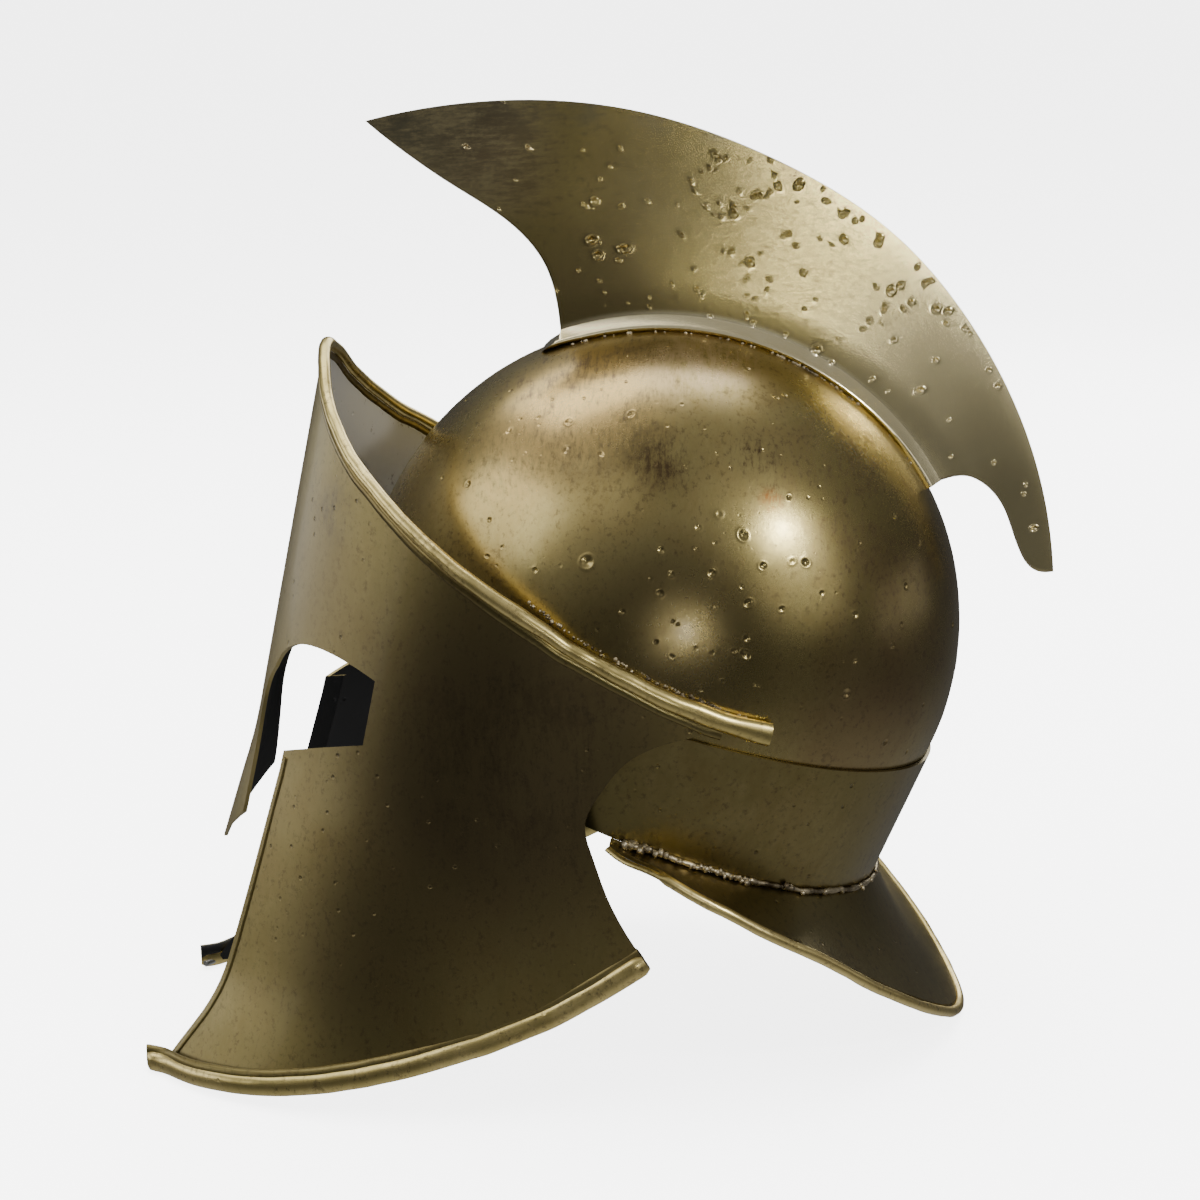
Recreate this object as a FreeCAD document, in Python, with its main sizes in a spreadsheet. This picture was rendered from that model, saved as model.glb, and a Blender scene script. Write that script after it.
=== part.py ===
import FreeCAD, Part
import math
import os

# Gladiator helmet: a pressed bowl, a wrapped face plate with a standing brow, a hollow crest,
# a neck band with a flared guard, rolled rims over wire and a leather suspension liner.
# It stands on its two cheek rims and the back of the neck guard: +Z up, face towards -Y,
# the wearer's left towards +X, origin on the ground under the middle of the helmet.

os.makedirs("parts", exist_ok=True)
doc = FreeCAD.newDocument("gladiator_helmet")
V = FreeCAD.Vector

# Driving dimensions in millimetres, angles in degrees
SIZES = (
    ("bowl_half_length", 126.4),
    ("bowl_half_width", 105.0),
    ("bowl_half_height", 125.6),
    ("bowl_centre_back", 30.5),
    ("bowl_centre_height", 178.4),
    ("bowl_wall", 1.4),
    ("bowl_edge_tilt", 21.0),
    ("bowl_edge_drop", 24.0),
    ("plate_wall", 1.5),
    ("plate_seat_gap", 1.7),
    ("plate_nose_depth", 121.0),
    ("plate_rear_depth", 112.0),
    ("plate_lean", 14.3),
    ("brow_peak_height", 302.0),
    ("brow_peak_reach", 135.0),
    ("brow_tail_height", 157.6),
    ("brow_tail_back", 45.4),
    ("cheek_lean_height", 140.0),
    ("cheek_lean_out", 9.0),
    ("cheek_flare_height", 60.0),
    ("cheek_flare_out", 28.0),
    ("cheek_side_height", 100.0),
    ("cheek_side_out", 10.0),
    ("nasal_tip_height", 85.5),
    ("nasal_corner_height", 108.0),
    ("nasal_corner_half_width", 33.0),
    ("nasal_neck_height", 152.0),
    ("nasal_neck_half_width", 21.5),
    ("eye_inner_height", 171.0),
    ("eye_inner_reach", 31.0),
    ("eye_top_height", 187.5),
    ("eye_top_reach", 59.0),
    ("eye_outer_height", 180.0),
    ("eye_outer_reach", 86.8),
    ("eye_low_height", 153.5),
    ("cheek_top_height", 141.5),
    ("cheek_gap_top", 53.5),
    ("cheek_gap_low", 57.0),
    ("cheek_rear_back", 6.0),
    ("cheek_rear_height", 66.0),
    ("cheek_notch_ahead", 27.9),
    ("cheek_notch_height", 125.7),
    ("cheek_fold_depth", 5.0),
    ("rim_radius", 3.0),
    ("rim_wire_radius", 1.5),
    ("rim_fit", 0.1),
    ("guard_rim_radius", 2.3),
    ("guard_wire_radius", 1.1),
    ("crest_front_reach", 111.5),
    ("crest_front_height", 214.0),
    ("crest_rear_reach", 165.6),
    ("crest_rear_height", 15.4),
    ("crest_foot_front", 36.0),
    ("crest_foot_rear", 113.5),
    ("crest_edge", 0.8),
    ("crest_swell", 5.4),
    ("crest_flange_out", 6.0),
    ("crest_flange_height", 5.6),
    ("crest_wall", 1.3),
    ("band_wall", 1.3),
    ("band_lap", 8.0),
    ("band_front_angle", 104.0),
    ("band_low_half_width", 99.0),
    ("band_low_half_length", 106.0),
    ("band_low_ahead", 18.5),
    ("band_low_rear_height", 66.0),
    ("band_low_slope", 25.4),
    ("guard_wall", 1.4),
    ("guard_half_width", 116.0),
    ("guard_rear_back", 123.8),
    ("guard_wide_back", 17.5),
    ("guard_front_half_width", 104.0),
    ("guard_front_ahead", 19.5),
    ("guard_front_height", 113.5),
    ("headband_half_width", 86.0),
    ("headband_half_length", 105.0),
    ("headband_leather", 2.0),
    ("headband_height", 42.0),
    ("headband_low", 190.0),
    ("liner_leather", 1.8),
    ("liner_crown_rise", 68.0),
    ("liner_crown_hole", 15.0),
    ("liner_slot_width", 9.0),
    ("lace_radius", 0.9),
    ("pad_radius", 48.0),
    ("bracket_width", 16.0),
    ("bracket_height", 20.0),
    ("bracket_metal", 1.2),
    ("rivet_radius", 2.0),
    ("rivet_head_radius", 4.5),
    ("rivet_head_rise", 1.6),
    ("weld_bead", 2.4),
    ("seam_bead", 1.6),
    ("overrun", 20.0),
)
sheet = doc.addObject("Spreadsheet::Sheet", "sizes")
for row, (alias, value) in enumerate(SIZES, start=1):
    sheet.set("A%d" % row, alias)
    sheet.set("B%d" % row, str(value))
    sheet.setAlias("B%d" % row, alias)
doc.recompute()


def size(alias):
    return float(getattr(sheet, alias))


# Curvature of the plate's nose in plan: 2 is an ellipse, less is more pointed
RIGHT_ANGLE = math.pi / 2
NOSE_POWER = 1.8
GUARD_POWER = 1.8
FLARE_POWER = 2.0

# Outlines as shares of the sizes that they follow: (back, height)
BROW_SHARES = ((0.0, 1.0), (0.015, 0.940), (0.054, 0.823), (0.112, 0.729), (0.187, 0.639),
               (0.284, 0.540), (0.435, 0.399), (0.601, 0.261), (0.768, 0.137), (1.0, 0.0))
HEM_SHARES = ((0.0, 0.0), (0.14, 0.035), (0.323, 0.13), (0.44, 0.225), (0.564, 0.345),
              (0.684, 0.473), (0.795, 0.609), (0.93, 0.85), (1.0, 1.0))
NOTCH_SHARES = ((0.0, 0.0), (0.36, 0.08), (0.69, 0.307), (0.884, 0.66), (1.0, 1.0))
REAR_SHARES = ((0.0, 0.0), (0.105, 0.25), (0.288, 0.49), (0.53, 0.71), (1.0, 1.0))
# The crest's ridge: share of the turn from the front tip, share of the loss of radius
RIDGE_SHARES = ((0.0, 0.0), (0.09, 0.15), (0.24, 0.37), (0.38, 0.555), (0.54, 0.70), (0.66, 0.814),
                (0.80, 0.915), (1.0, 1.0))
HORN_FRONT_SHARES = ((0.0, 0.0), (0.21, 0.146), (0.456, 0.293), (0.722, 0.444), (0.931, 0.651),
                     (0.988, 0.826), (1.0, 1.0))
HORN_REAR_SHARES = ((0.0, 0.0), (0.20, -0.073), (0.308, -0.071), (0.438, 0.012), (0.569, 0.204),
                    (0.698, 0.647), (0.83, 0.957), (1.0, 1.0))
NOTCH_TOP_SHARE = 0.75
GUARD_HOLLOW_SHARE = 0.16
QUARTER_SLOTS = 2
SLOT_REACH_SHARE = 0.72
RIVET_LEVEL_SHARE = 0.6
DOME_LEVEL_SHARE = 0.75
BRACKET_TURN_SHARE = 0.56
GUARD_DROP_SHARES = ((0.0, 0.0), (0.154, 0.085), (0.244, 0.151), (0.356, 0.238), (0.598, 0.463),
                     (0.768, 0.67), (0.907, 0.853), (1.0, 1.0))
# Levels across the crest, from the ridge to the foot
CREST_LEVELS = (0.0, 0.15, 0.3, 0.45, 0.6, 0.72, 0.82, 0.91, 1.0)
# The upper border of the eye beside its inner corner: share of the width, share of the rise
SHOULDER_SHARES = (0.46, 0.75)
# Edge of the nasal between its corner and its neck: share of the rise, share of the width
NASAL_SHARES = ((0.2, 0.83), (0.727, 0.17))

SIDE_STEPS = 10
HEIGHT_STEPS = 20
RIM_STATIONS = 16
CREST_STEPS = 18
RING_STEPS = 24
BAND_STEPS = 4
TINY = 1e-4

bowl_y = size("bowl_centre_back")
bowl_z = size("bowl_centre_height")
bowl_a = size("bowl_half_width")
bowl_b = size("bowl_half_length")
bowl_c = size("bowl_half_height")
overrun = size("overrun")


def spline(points):
    """A smooth curve through the points."""
    curve = Part.BSplineCurve()
    curve.interpolate(points)
    return curve


def share_between(shares, start, end):
    """Points (y, z) between two corners: each share runs from the start to the end."""
    return [(start[0] + s * (end[0] - start[0]), start[1] + t * (end[1] - start[1])) for s, t in shares]


def between(low, high, share):
    return low + (high - low) * share


def along(shares, share):
    """The second share at a first share, on straight runs between the rows of a table."""
    for (s0, t0), (s1, t1) in zip(shares, shares[1:]):
        if share <= s1:
            return between(t0, t1, (share - s0) / (s1 - s0))
    return shares[-1][1]


def closed_solid(faces):
    shell = Part.makeShell(faces)
    shell.sewShape()
    solid = Part.makeSolid(shell)
    if solid.Volume < 0:
        solid.reverse()
    return solid


def solid_between(grids, hems=None):
    """A closed solid between two grids of points; hems carry both faces on to two more lines."""
    faces, rims = [], []
    for grid in grids:
        surface = Part.BSplineSurface()
        surface.interpolate(grid)
        u0, u1, v0, v1 = surface.bounds()
        faces.append(surface.toShape())
        rims.append([iso.toShape() for iso in (surface.uIso(u0), surface.uIso(u1),
                                               surface.vIso(v0), surface.vIso(v1))])
    faces += [Part.makeRuledSurface(a, b) for a, b in zip(*rims)]
    if hems:
        faces.pop()
        curves = [spline(hem).toShape() for hem in hems]
        faces += [Part.makeRuledSurface(rim[-1], curve) for rim, curve in zip(rims, curves)]
        faces.append(Part.makeRuledSurface(*curves))
        for end in (0, -1):
            lines = [Part.makeLine(grid[end][-1], hem[end]) for grid, hem in zip(grids, hems)]
            faces.append(Part.makeRuledSurface(*lines))
    return closed_solid(faces)


def sheet_grids(surface, firsts, seconds, depth, inward):
    """A surface as a grid of points, and the face a depth under it on the inward side."""
    outer, inner = [], []
    for s in firsts:
        row, under = [], []
        for t in seconds:
            p = surface(s, t)
            normal = (surface(s + TINY, t) - surface(s - TINY, t)).cross(
                surface(s, t + TINY) - surface(s, t - TINY))
            normal.normalize()
            if normal.dot(inward(p)) < 0:
                normal = normal * -1
            row.append(p)
            under.append(p + normal * depth)
        outer.append(row)
        inner.append(under)
    return outer, inner


def thick_sheet(surface, firsts, seconds, wall, inward):
    """A sheet of even wall under the surface."""
    return solid_between(sheet_grids(surface, firsts, seconds, wall, inward))


def circles(curve, radius, stations):
    """Circles square to a curve, evenly along it."""
    first, last = curve.FirstParameter, curve.LastParameter
    for i in range(stations + 1):
        u = between(first, last, i / stations)
        yield Part.Wire([Part.Circle(curve.value(u), V(*curve.tangent(u)[0]), radius).toShape()])


def rod(curve, radius, stations=RIM_STATIONS):
    """A round bar that follows a curve, lofted through circles."""
    return Part.makeLoft(list(circles(curve, radius, stations)), True, False)


def tube(curve, radius, bore, stations=RIM_STATIONS):
    """A round tube that follows a curve, closed by a flat ring at each end."""
    outside, inside = [list(circles(curve, reach, stations)) for reach in (radius, bore)]
    faces = Part.makeLoft(outside, False, False).Faces + Part.makeLoft(inside, False, False).Faces
    for end in (0, -1):
        faces.append(Part.makeFace([outside[end], inside[end]], "Part::FaceMakerBullseye"))
    return closed_solid(faces)


def rear_part(curve, point):
    """The part of a curve after a point on it."""
    half = curve.copy()
    half.segment(curve.parameter(point), curve.LastParameter)
    return half


def ellipsoid_solid(a, b, c, y, z):
    """A ball stretched to three half-sizes, about a centre in the middle plane."""
    ball = Part.makeSphere(1)
    matrix = FreeCAD.Matrix()
    matrix.scale(a, b, c)
    ball = ball.transformGeometry(matrix)
    ball.translate(V(0, y, z))
    return ball


def mirrored(shape):
    return shape.mirror(V(0, 0, 0), V(1, 0, 0))


def whole(half):
    """Both halves of a piece as one solid."""
    return half.fuse(mirrored(half))


def largest(shape):
    return max(shape.Solids, key=lambda solid: solid.Volume)


def piece(name, shape):
    part = doc.addObject("Part::Feature", name)
    part.Label = name
    part.Shape = shape
    part.Placement = FreeCAD.Placement()
    made.append(part)


made = []
left_space = Part.makeBox(4 * bowl_a, 8 * bowl_b, 8 * bowl_c, V(0, -4 * bowl_b, -4 * bowl_c))

# Skull bowl: a stretched ball, hollowed, cut by a plane that drops towards the nape
ball_outer = doc.addObject("Part::Ellipsoid", "ball_outer")
ball_inner = doc.addObject("Part::Ellipsoid", "ball_inner")
for ball, less in ((ball_outer, ""), (ball_inner, " - sizes.bowl_wall")):
    ball.setExpression("Radius1", "sizes.bowl_half_height" + less)
    ball.setExpression("Radius2", "sizes.bowl_half_width" + less)
    ball.setExpression("Radius3", "sizes.bowl_half_length" + less)
    ball.setExpression("Angle1", "-90")
    ball.setExpression("Angle2", "90")
    ball.setExpression("Placement.Base.y", "sizes.bowl_centre_back")
    ball.setExpression("Placement.Base.z", "sizes.bowl_centre_height")
bowl_shell = doc.addObject("Part::Cut", "bowl_shell")
bowl_shell.Base = ball_outer
bowl_shell.Tool = ball_inner
below = doc.addObject("Part::Box", "below_the_edge")
below.setExpression("Length", "4 * sizes.bowl_half_width")
below.setExpression("Width", "4 * sizes.bowl_half_length")
below.setExpression("Height", "4 * sizes.bowl_half_height")
edge_turn = FreeCAD.Rotation(V(1, 0, 0), -size("bowl_edge_tilt"))
below.Placement = FreeCAD.Placement(V(-2 * bowl_a, bowl_y, bowl_z - size("bowl_edge_drop")), edge_turn)
below.Placement = below.Placement.multiply(
    FreeCAD.Placement(V(0, -2 * bowl_b, -4 * bowl_c), FreeCAD.Rotation()))
skull_bowl = doc.addObject("Part::Cut", "skull_bowl")
skull_bowl.Label = "skull_bowl"
skull_bowl.Base = bowl_shell
skull_bowl.Tool = below
doc.recompute()
made.append(skull_bowl)
outer_ball = ball_outer.Shape
inner_ball = ball_inner.Shape

# Face plate: one sheet wrapped round the face
lean = math.tan(math.radians(size("plate_lean")))
peak = (bowl_y - size("brow_peak_reach"), size("brow_peak_height"))
tail = (bowl_y + size("brow_tail_back"), size("brow_tail_height"))
plate_half_width = bowl_a + size("plate_wall") + size("plate_seat_gap")


def ramp(height, start):
    return max(0.0, (start - height) / start)


def plate_section(height):
    """Front, middle and half-width of the plate's plan at a height, and its nose depth."""
    front = peak[0] - lean * (peak[1] - height)
    middle = front + size("plate_nose_depth")
    rise = size("cheek_lean_height") - size("cheek_flare_height")
    forward = size("cheek_lean_out") * min(1.0, max(0.0, (size("cheek_lean_height") - height) / rise))
    forward += size("cheek_flare_out") * ramp(height, size("cheek_flare_height")) ** FLARE_POWER
    out = size("cheek_side_out") * ramp(height, size("cheek_side_height")) ** FLARE_POWER
    return middle, plate_half_width + out, size("plate_nose_depth") + forward


NOSE_SHARE, FLAT_SHARE = 0.62, 0.74


def plate_point(side, height):
    """The plate's outer face: side is 0 at the nose and 1 or -1 at the rear edges."""
    middle, width, depth = plate_section(height)
    turn, sign = abs(side), math.copysign(1.0, side)
    if turn <= NOSE_SHARE:
        angle = RIGHT_ANGLE * turn / NOSE_SHARE
        x = width * math.sin(angle) ** (2 / NOSE_POWER)
        y = middle - depth * math.cos(angle) ** (2 / NOSE_POWER)
    elif turn <= FLAT_SHARE:
        x = width
        y = between(middle, bowl_y, (turn - NOSE_SHARE) / (FLAT_SHARE - NOSE_SHARE))
    else:
        reach = (tail[0] + overrun - bowl_y) * (turn - FLAT_SHARE) / (1 - FLAT_SHARE)
        x = width * math.sqrt(1 - (reach / size("plate_rear_depth")) ** 2)
        y = bowl_y + reach
    return V(sign * x, y, height)


def plate_x(y, height, inset=0.0):
    """Half-width of the plate at a place in the side view, less an inset."""
    middle, width, depth = plate_section(height)
    width, depth = width - inset, depth - inset
    if y < middle:
        reach = min(1.0, (middle - y) / depth)
        return width * (1 - reach ** NOSE_POWER) ** (1 / NOSE_POWER)
    reach = max(0.0, y - bowl_y) / size("plate_rear_depth")
    return width * math.sqrt(1 - reach * reach)


hem_front = (peak[0] - lean * (peak[1] - size("rim_radius")) + size("plate_nose_depth")
             - (size("plate_nose_depth") + size("cheek_lean_out") + size("cheek_flare_out"))
             * (1 - (size("cheek_gap_low") / (plate_half_width + size("cheek_side_out"))) ** NOSE_POWER)
             ** (1 / NOSE_POWER), size("rim_radius") + size("rim_fit"))
hem_rear = (bowl_y - size("cheek_rear_back"), size("cheek_rear_height"))
notch = (bowl_y - size("cheek_notch_ahead"), size("cheek_notch_height"))
notch_top = (between(notch[0], tail[0], NOTCH_TOP_SHARE), tail[1] + size("rim_radius"))

brow_line = share_between(BROW_SHARES, (peak[0], tail[1]), (tail[0], peak[1]))
hem_line = share_between(HEM_SHARES, hem_front, hem_rear)
notch_line = share_between(NOTCH_SHARES, notch_top, notch)
rear_line = share_between(REAR_SHARES, notch, hem_rear)


def side_curve(points, x):
    return spline([V(x, y, z) for y, z in points]).toShape()


def side_line(start, end, x):
    return Part.makeLine(V(x, *start), V(x, *end))


far = -2 * bowl_a
ahead = hem_front[0] - overrun
keep_edges = [side_curve(brow_line, far), side_line(brow_line[-1], notch_line[0], far),
              side_curve(notch_line + rear_line[1:], far),
              side_curve(hem_line[::-1], far), side_line(hem_line[0], (ahead, hem_line[0][1]), far),
              side_line((ahead, hem_line[0][1]), (ahead, peak[1]), far),
              side_line((ahead, peak[1]), brow_line[0], far)]
keep_prism = Part.Face(Part.Wire(Part.__sortEdges__(keep_edges))).extrude(V(4 * bowl_a, 0, 0))


def front_point(x, z):
    return V(x, hem_front[0] - overrun, z)


def face_opening():
    """The left half of the opening in the front view: the eye and the gap beside the nasal."""
    tip = (0, size("nasal_tip_height"))
    corner = (size("nasal_corner_half_width"), size("nasal_corner_height"))
    neck = (size("nasal_neck_half_width"), size("nasal_neck_height"))
    inner = (size("eye_inner_reach"), size("eye_inner_height"))
    crown = (size("eye_top_reach"), size("eye_top_height"))
    shoulder = (between(inner[0], crown[0], SHOULDER_SHARES[0]),
                between(inner[1], crown[1], SHOULDER_SHARES[1]))
    waist = [(between(neck[0], corner[0], t), between(corner[1], neck[1], s)) for s, t in NASAL_SHARES]
    outer = (size("eye_outer_reach"), size("eye_outer_height"))
    low = (size("eye_outer_reach"), size("eye_low_height"))
    cheek = (size("cheek_gap_top"), size("cheek_top_height"))
    foot = (size("cheek_gap_low"), -overrun)
    middle = (0, -overrun)
    corners = [outer, low, cheek, foot, middle, tip, corner]
    edges = [Part.makeLine(front_point(*a), front_point(*b)) for a, b in zip(corners, corners[1:])]
    for curve in ([corner] + waist + [neck, inner], [inner, shoulder, crown, outer]):
        edges.append(spline([front_point(*p) for p in curve]).toShape())
    face = Part.Face(Part.Wire(Part.__sortEdges__(edges)))
    return face.extrude(V(0, bowl_y - hem_front[0] + overrun, 0))


sides = [i / SIDE_STEPS for i in range(-SIDE_STEPS, SIDE_STEPS + 1)]
heights = [between(-size("rim_radius"), peak[1] + size("rim_radius"), i / HEIGHT_STEPS)
           for i in range(HEIGHT_STEPS + 1)]


def plate_inward(p):
    return V(-p.x, plate_section(p.z)[0] + overrun - p.y, 0)


def bowl_x(y, z, clear=0.0):
    """Half-width of the bowl's outer face at a place in the side view, plus a clearance."""
    dy, dz = (y - bowl_y) / bowl_b, (z - bowl_z) / bowl_c
    inside_share = 1 - dy * dy - dz * dz
    if inside_share <= 0:
        return 0.0
    x = bowl_a * math.sqrt(inside_share)
    slope = V(x / bowl_a ** 2, dy / bowl_b, dz / bowl_c)
    return x + clear * slope.Length / slope.x


def rim_path(line, clear):
    """One side of a rim on the plate's edge: it rides over the bowl where the two meet."""
    half = size("plate_wall") / 2
    return [V(max(plate_x(y, z, half), bowl_x(y, z, clear)), y, z) for y, z in line]


# Brow rim: one line over the brow, made as two rolled tubes that meet at the peak
brow_side = rim_path(brow_line[1:], size("rim_radius") + size("rim_fit"))
brow_top = V(0, peak[0] + size("plate_wall") / 2, peak[1])
brow_full = spline([V(-p.x, p.y, p.z) for p in brow_side[::-1]] + [brow_top] + brow_side)
brow_half = rear_part(brow_full, brow_top)
hem_half = spline(rim_path(hem_line, -2 * bowl_a))

# A narrow strip along the cheek's front edge, where the sheet is folded inwards
strip_low, strip_top = size("cheek_gap_low"), size("cheek_gap_top")
strip_corners = [(strip_top, size("cheek_top_height")),
                 (strip_top + size("plate_wall"), size("cheek_top_height")),
                 (strip_low + size("plate_wall"), -overrun), (strip_low, -overrun)]
strip_points = [front_point(*corner) for corner in strip_corners]
strip = Part.Face(Part.makePolygon(strip_points + strip_points[:1])).extrude(
    V(0, bowl_y - hem_front[0] + overrun, 0))
plate_depth = size("plate_wall")
plate = thick_sheet(plate_point, sides, heights, plate_depth, plate_inward)
plate = plate.common(left_space).common(keep_prism).cut(face_opening())
fold = thick_sheet(plate_point, sides, heights, plate_depth + size("cheek_fold_depth"), plate_inward)
fold = fold.common(strip).common(keep_prism)
rods = Part.makeCompound([rod(brow_half, size("rim_radius")), rod(hem_half, size("rim_radius"))])
piece("face_plate", whole(largest(plate.fuse(fold).cut(rods))))

# Rims of the brow and the cheeks: rolled tubes with a wire inside each
wire_radius = size("rim_wire_radius")
for name, curve in (("brow", brow_half), ("cheek", hem_half)):
    rim = tube(curve, size("rim_radius"), wire_radius + size("rim_fit"))
    wire = rod(curve, wire_radius)
    piece(name + "_rim_left", rim)
    piece(name + "_rim_right", mirrored(rim))
    piece(name + "_wire_left", wire)
    piece(name + "_wire_right", mirrored(wire))

# Weld beads in the corner between the brow rim and the bowl, towards the rim's rear end
RIM_BEAD_SHARES = (0.60, 0.66, 0.72, 0.775, 0.83, 0.88, 0.925, 0.965)
bead = size("weld_bead")
beads = []
for share in RIM_BEAD_SHARES:
    turn = between(brow_half.FirstParameter, brow_half.LastParameter, share)
    middle, run = brow_half.value(turn), V(*brow_half.tangent(turn)[0])
    away = V(middle.x / bowl_a ** 2, (middle.y - bowl_y) / bowl_b ** 2, (middle.z - bowl_z) / bowl_c ** 2)
    away.normalize()
    up = away.cross(run)
    if up.z < 0:
        up = up * -1
    spot = middle - away * (size("rim_radius") / 2) + up * (size("rim_radius") + bead / 2)
    reach = size("rim_radius") + size("rim_fit") / 2
    rim_here = Part.makeCylinder(reach, 4 * bead, middle - run * 2 * bead, run)
    beads.append(Part.makeSphere(bead, spot).cut(rim_here))
beads = Part.makeCompound(beads).cut(outer_ball)
piece("brow_weld_beads", Part.makeCompound([beads, mirrored(beads)]))

# Crest: two pressed halves that meet at the ridge, flared where they stand on the bowl
front_tip = (bowl_y - size("crest_front_reach"), bowl_z + size("crest_front_height"))
rear_tip = (bowl_y + size("crest_rear_reach"), bowl_z + size("crest_rear_height"))


def polar(y, z):
    return math.atan2(z - bowl_z, y - bowl_y), math.hypot(y - bowl_y, z - bowl_z)


def at_polar(angle, radius, x=0.0):
    return V(x, bowl_y + radius * math.cos(angle), bowl_z + radius * math.sin(angle))


def bowl_radius(angle):
    return 1 / math.hypot(math.cos(angle) / bowl_b, math.sin(angle) / bowl_c)


front_angle, front_radius = polar(*front_tip)
rear_angle, rear_radius = polar(*rear_tip)
ridge = spline([at_polar(between(front_angle, rear_angle, s), between(front_radius, rear_radius, t))
                for s, t in RIDGE_SHARES])
foot_front_angle = math.acos(-size("crest_foot_front") / bowl_b)
foot_rear_angle = math.acos(size("crest_foot_rear") / bowl_b)
foot_front = at_polar(foot_front_angle, bowl_radius(foot_front_angle))
foot_rear = at_polar(foot_rear_angle, bowl_radius(foot_rear_angle))
SWELL_POWER = 1.35


def crest_solid(less, top_level, turns):
    """A crest half's web and flange, less a wall, carried a little past the middle plane."""
    face, plane, face_foot, plane_foot = [], [], [], []
    past = -size("crest_swell")
    for i in range(CREST_STEPS + 1):
        point = ridge.value(between(turns[0], turns[1], i / CREST_STEPS))
        angle, radius = polar(point.y, point.z)
        crease = bowl_radius(angle) + size("crest_flange_height")
        rows = []
        for level in CREST_LEVELS:
            deep = between(top_level, 1, level)
            half_thick = size("crest_edge") + size("crest_swell") * deep ** SWELL_POWER
            rows.append((between(radius, crease, deep), half_thick - less))
        foot = bowl_radius(angle) - size("bowl_wall")
        face.append([at_polar(angle, r, x) for r, x in rows])
        plane.append([at_polar(angle, r, past) for r, x in rows])
        face_foot.append(at_polar(angle, foot, rows[-1][1] + size("crest_flange_out")))
        plane_foot.append(at_polar(angle, foot, past))
    return solid_between((face, plane), (face_foot, plane_foot))


horn_front = share_between(HORN_FRONT_SHARES, front_tip, (foot_front.y, foot_front.z))
horn_rear = share_between(HORN_REAR_SHARES, (foot_rear.y, foot_rear.z), rear_tip)
deep_front = (foot_front.y, bowl_z)
deep_rear = (foot_rear.y - size("bowl_wall"), bowl_z)
roof = front_tip[1] + overrun
border = [rear_tip, (rear_tip[0] + overrun, rear_tip[1]), (rear_tip[0] + overrun, roof),
          (front_tip[0] - overrun, roof), (front_tip[0] - overrun, front_tip[1]), front_tip]
outline = [side_curve(horn_front, 0), side_line(horn_front[-1], deep_front, 0),
           side_line(deep_front, deep_rear, 0), side_line(deep_rear, horn_rear[0], 0),
           side_curve(horn_rear, 0)]
outline += [side_line(a, b, 0) for a, b in zip(border, border[1:])]
crest_prism = Part.Face(Part.Wire(Part.__sortEdges__(outline))).extrude(V(bowl_a, 0, 0))
ridge_turns = (ridge.FirstParameter, ridge.LastParameter)
HOLLOW_SHARES = (0.06, 0.94)
HOLLOW_TOP_SHARE = 0.4
hollow_turns = []
for share in HOLLOW_SHARES:
    angle = between(foot_front_angle, foot_rear_angle, share)
    level_share = (angle - front_angle) / (rear_angle - front_angle)
    hollow_turns.append(ridge.parameter(at_polar(angle, between(
        front_radius, rear_radius, along(RIDGE_SHARES, level_share)))))
crest_left = crest_solid(0, 0, ridge_turns).common(crest_prism).cut(outer_ball)
crest_left = largest(crest_left.cut(crest_solid(size("crest_wall"), HOLLOW_TOP_SHARE, hollow_turns)))
piece("crest_left", crest_left)
piece("crest_right", mirrored(crest_left))

# Crest weld beads: tacks on the bowl beside both flanges
TACK_SHARES = (0.12, 0.34, 0.55, 0.60, 0.65, 0.90)
flange_share = size("crest_flange_height") / (size("crest_flange_height") + size("bowl_wall"))
flange_x = size("crest_edge") + size("crest_swell") + size("crest_flange_out") * flange_share
tacks = []
for share in TACK_SHARES:
    angle = between(foot_front_angle, foot_rear_angle, share)
    spot = at_polar(angle, bowl_radius(angle), flange_x + bead)
    tacks.append(Part.makeSphere(bead, spot))
tacks = Part.makeCompound(tacks).cut(outer_ball)
piece("crest_weld_beads", Part.makeCompound([tacks, mirrored(tacks)]))

# Neck band: a sheet that laps the bowl's edge and narrows downwards
edge_slope = math.tan(math.radians(size("bowl_edge_tilt")))
lap_rise = size("band_lap") / math.cos(math.radians(size("bowl_edge_tilt")))
lap_height = bowl_z - size("bowl_edge_drop") + lap_rise


def ring_of_plane(height, slope, grow):
    """The ellipse where the bowl, grown a little, meets a plane that drops backwards."""
    b, c, a = bowl_b + grow, bowl_c + grow, bowl_a + grow
    lift = height - bowl_z
    square = 1 / b ** 2 + slope ** 2 / c ** 2
    back = slope * lift / c ** 2 / square
    rest = 1 - lift ** 2 / c ** 2 + square * back ** 2
    half_length = math.sqrt(rest / square)
    return back, half_length, a * math.sqrt(rest)


top_back, top_length, top_width = ring_of_plane(lap_height, edge_slope, size("band_wall") + size("rim_fit"))
low_slope = math.tan(math.radians(size("band_low_slope")))
low_middle = bowl_y - size("band_low_ahead")


def band_top(angle):
    back = top_back + top_length * math.cos(angle)
    return V(top_width * math.sin(angle), bowl_y + back, lap_height - edge_slope * back)


def band_low(angle):
    length = size("band_low_half_length")
    ahead_of_rear = length - length * math.cos(angle)
    return V(size("band_low_half_width") * math.sin(angle), low_middle + length * math.cos(angle),
             size("band_low_rear_height") + low_slope * ahead_of_rear)


def band_point(turn, share):
    angle = math.radians(size("band_front_angle")) * turn
    return band_top(angle) + (band_low(angle) - band_top(angle)) * share


ring = [between(-1.0, 1.0, i / RING_STEPS) for i in range(RING_STEPS + 1)]
levels = [i / BAND_STEPS for i in range(BAND_STEPS + 1)]


def band_inward(p):
    return V(-p.x, low_middle - p.y, 0)


band = thick_sheet(band_point, ring, levels, size("band_wall"), band_inward).cut(outer_ball)
piece("neck_band", largest(band))

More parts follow.
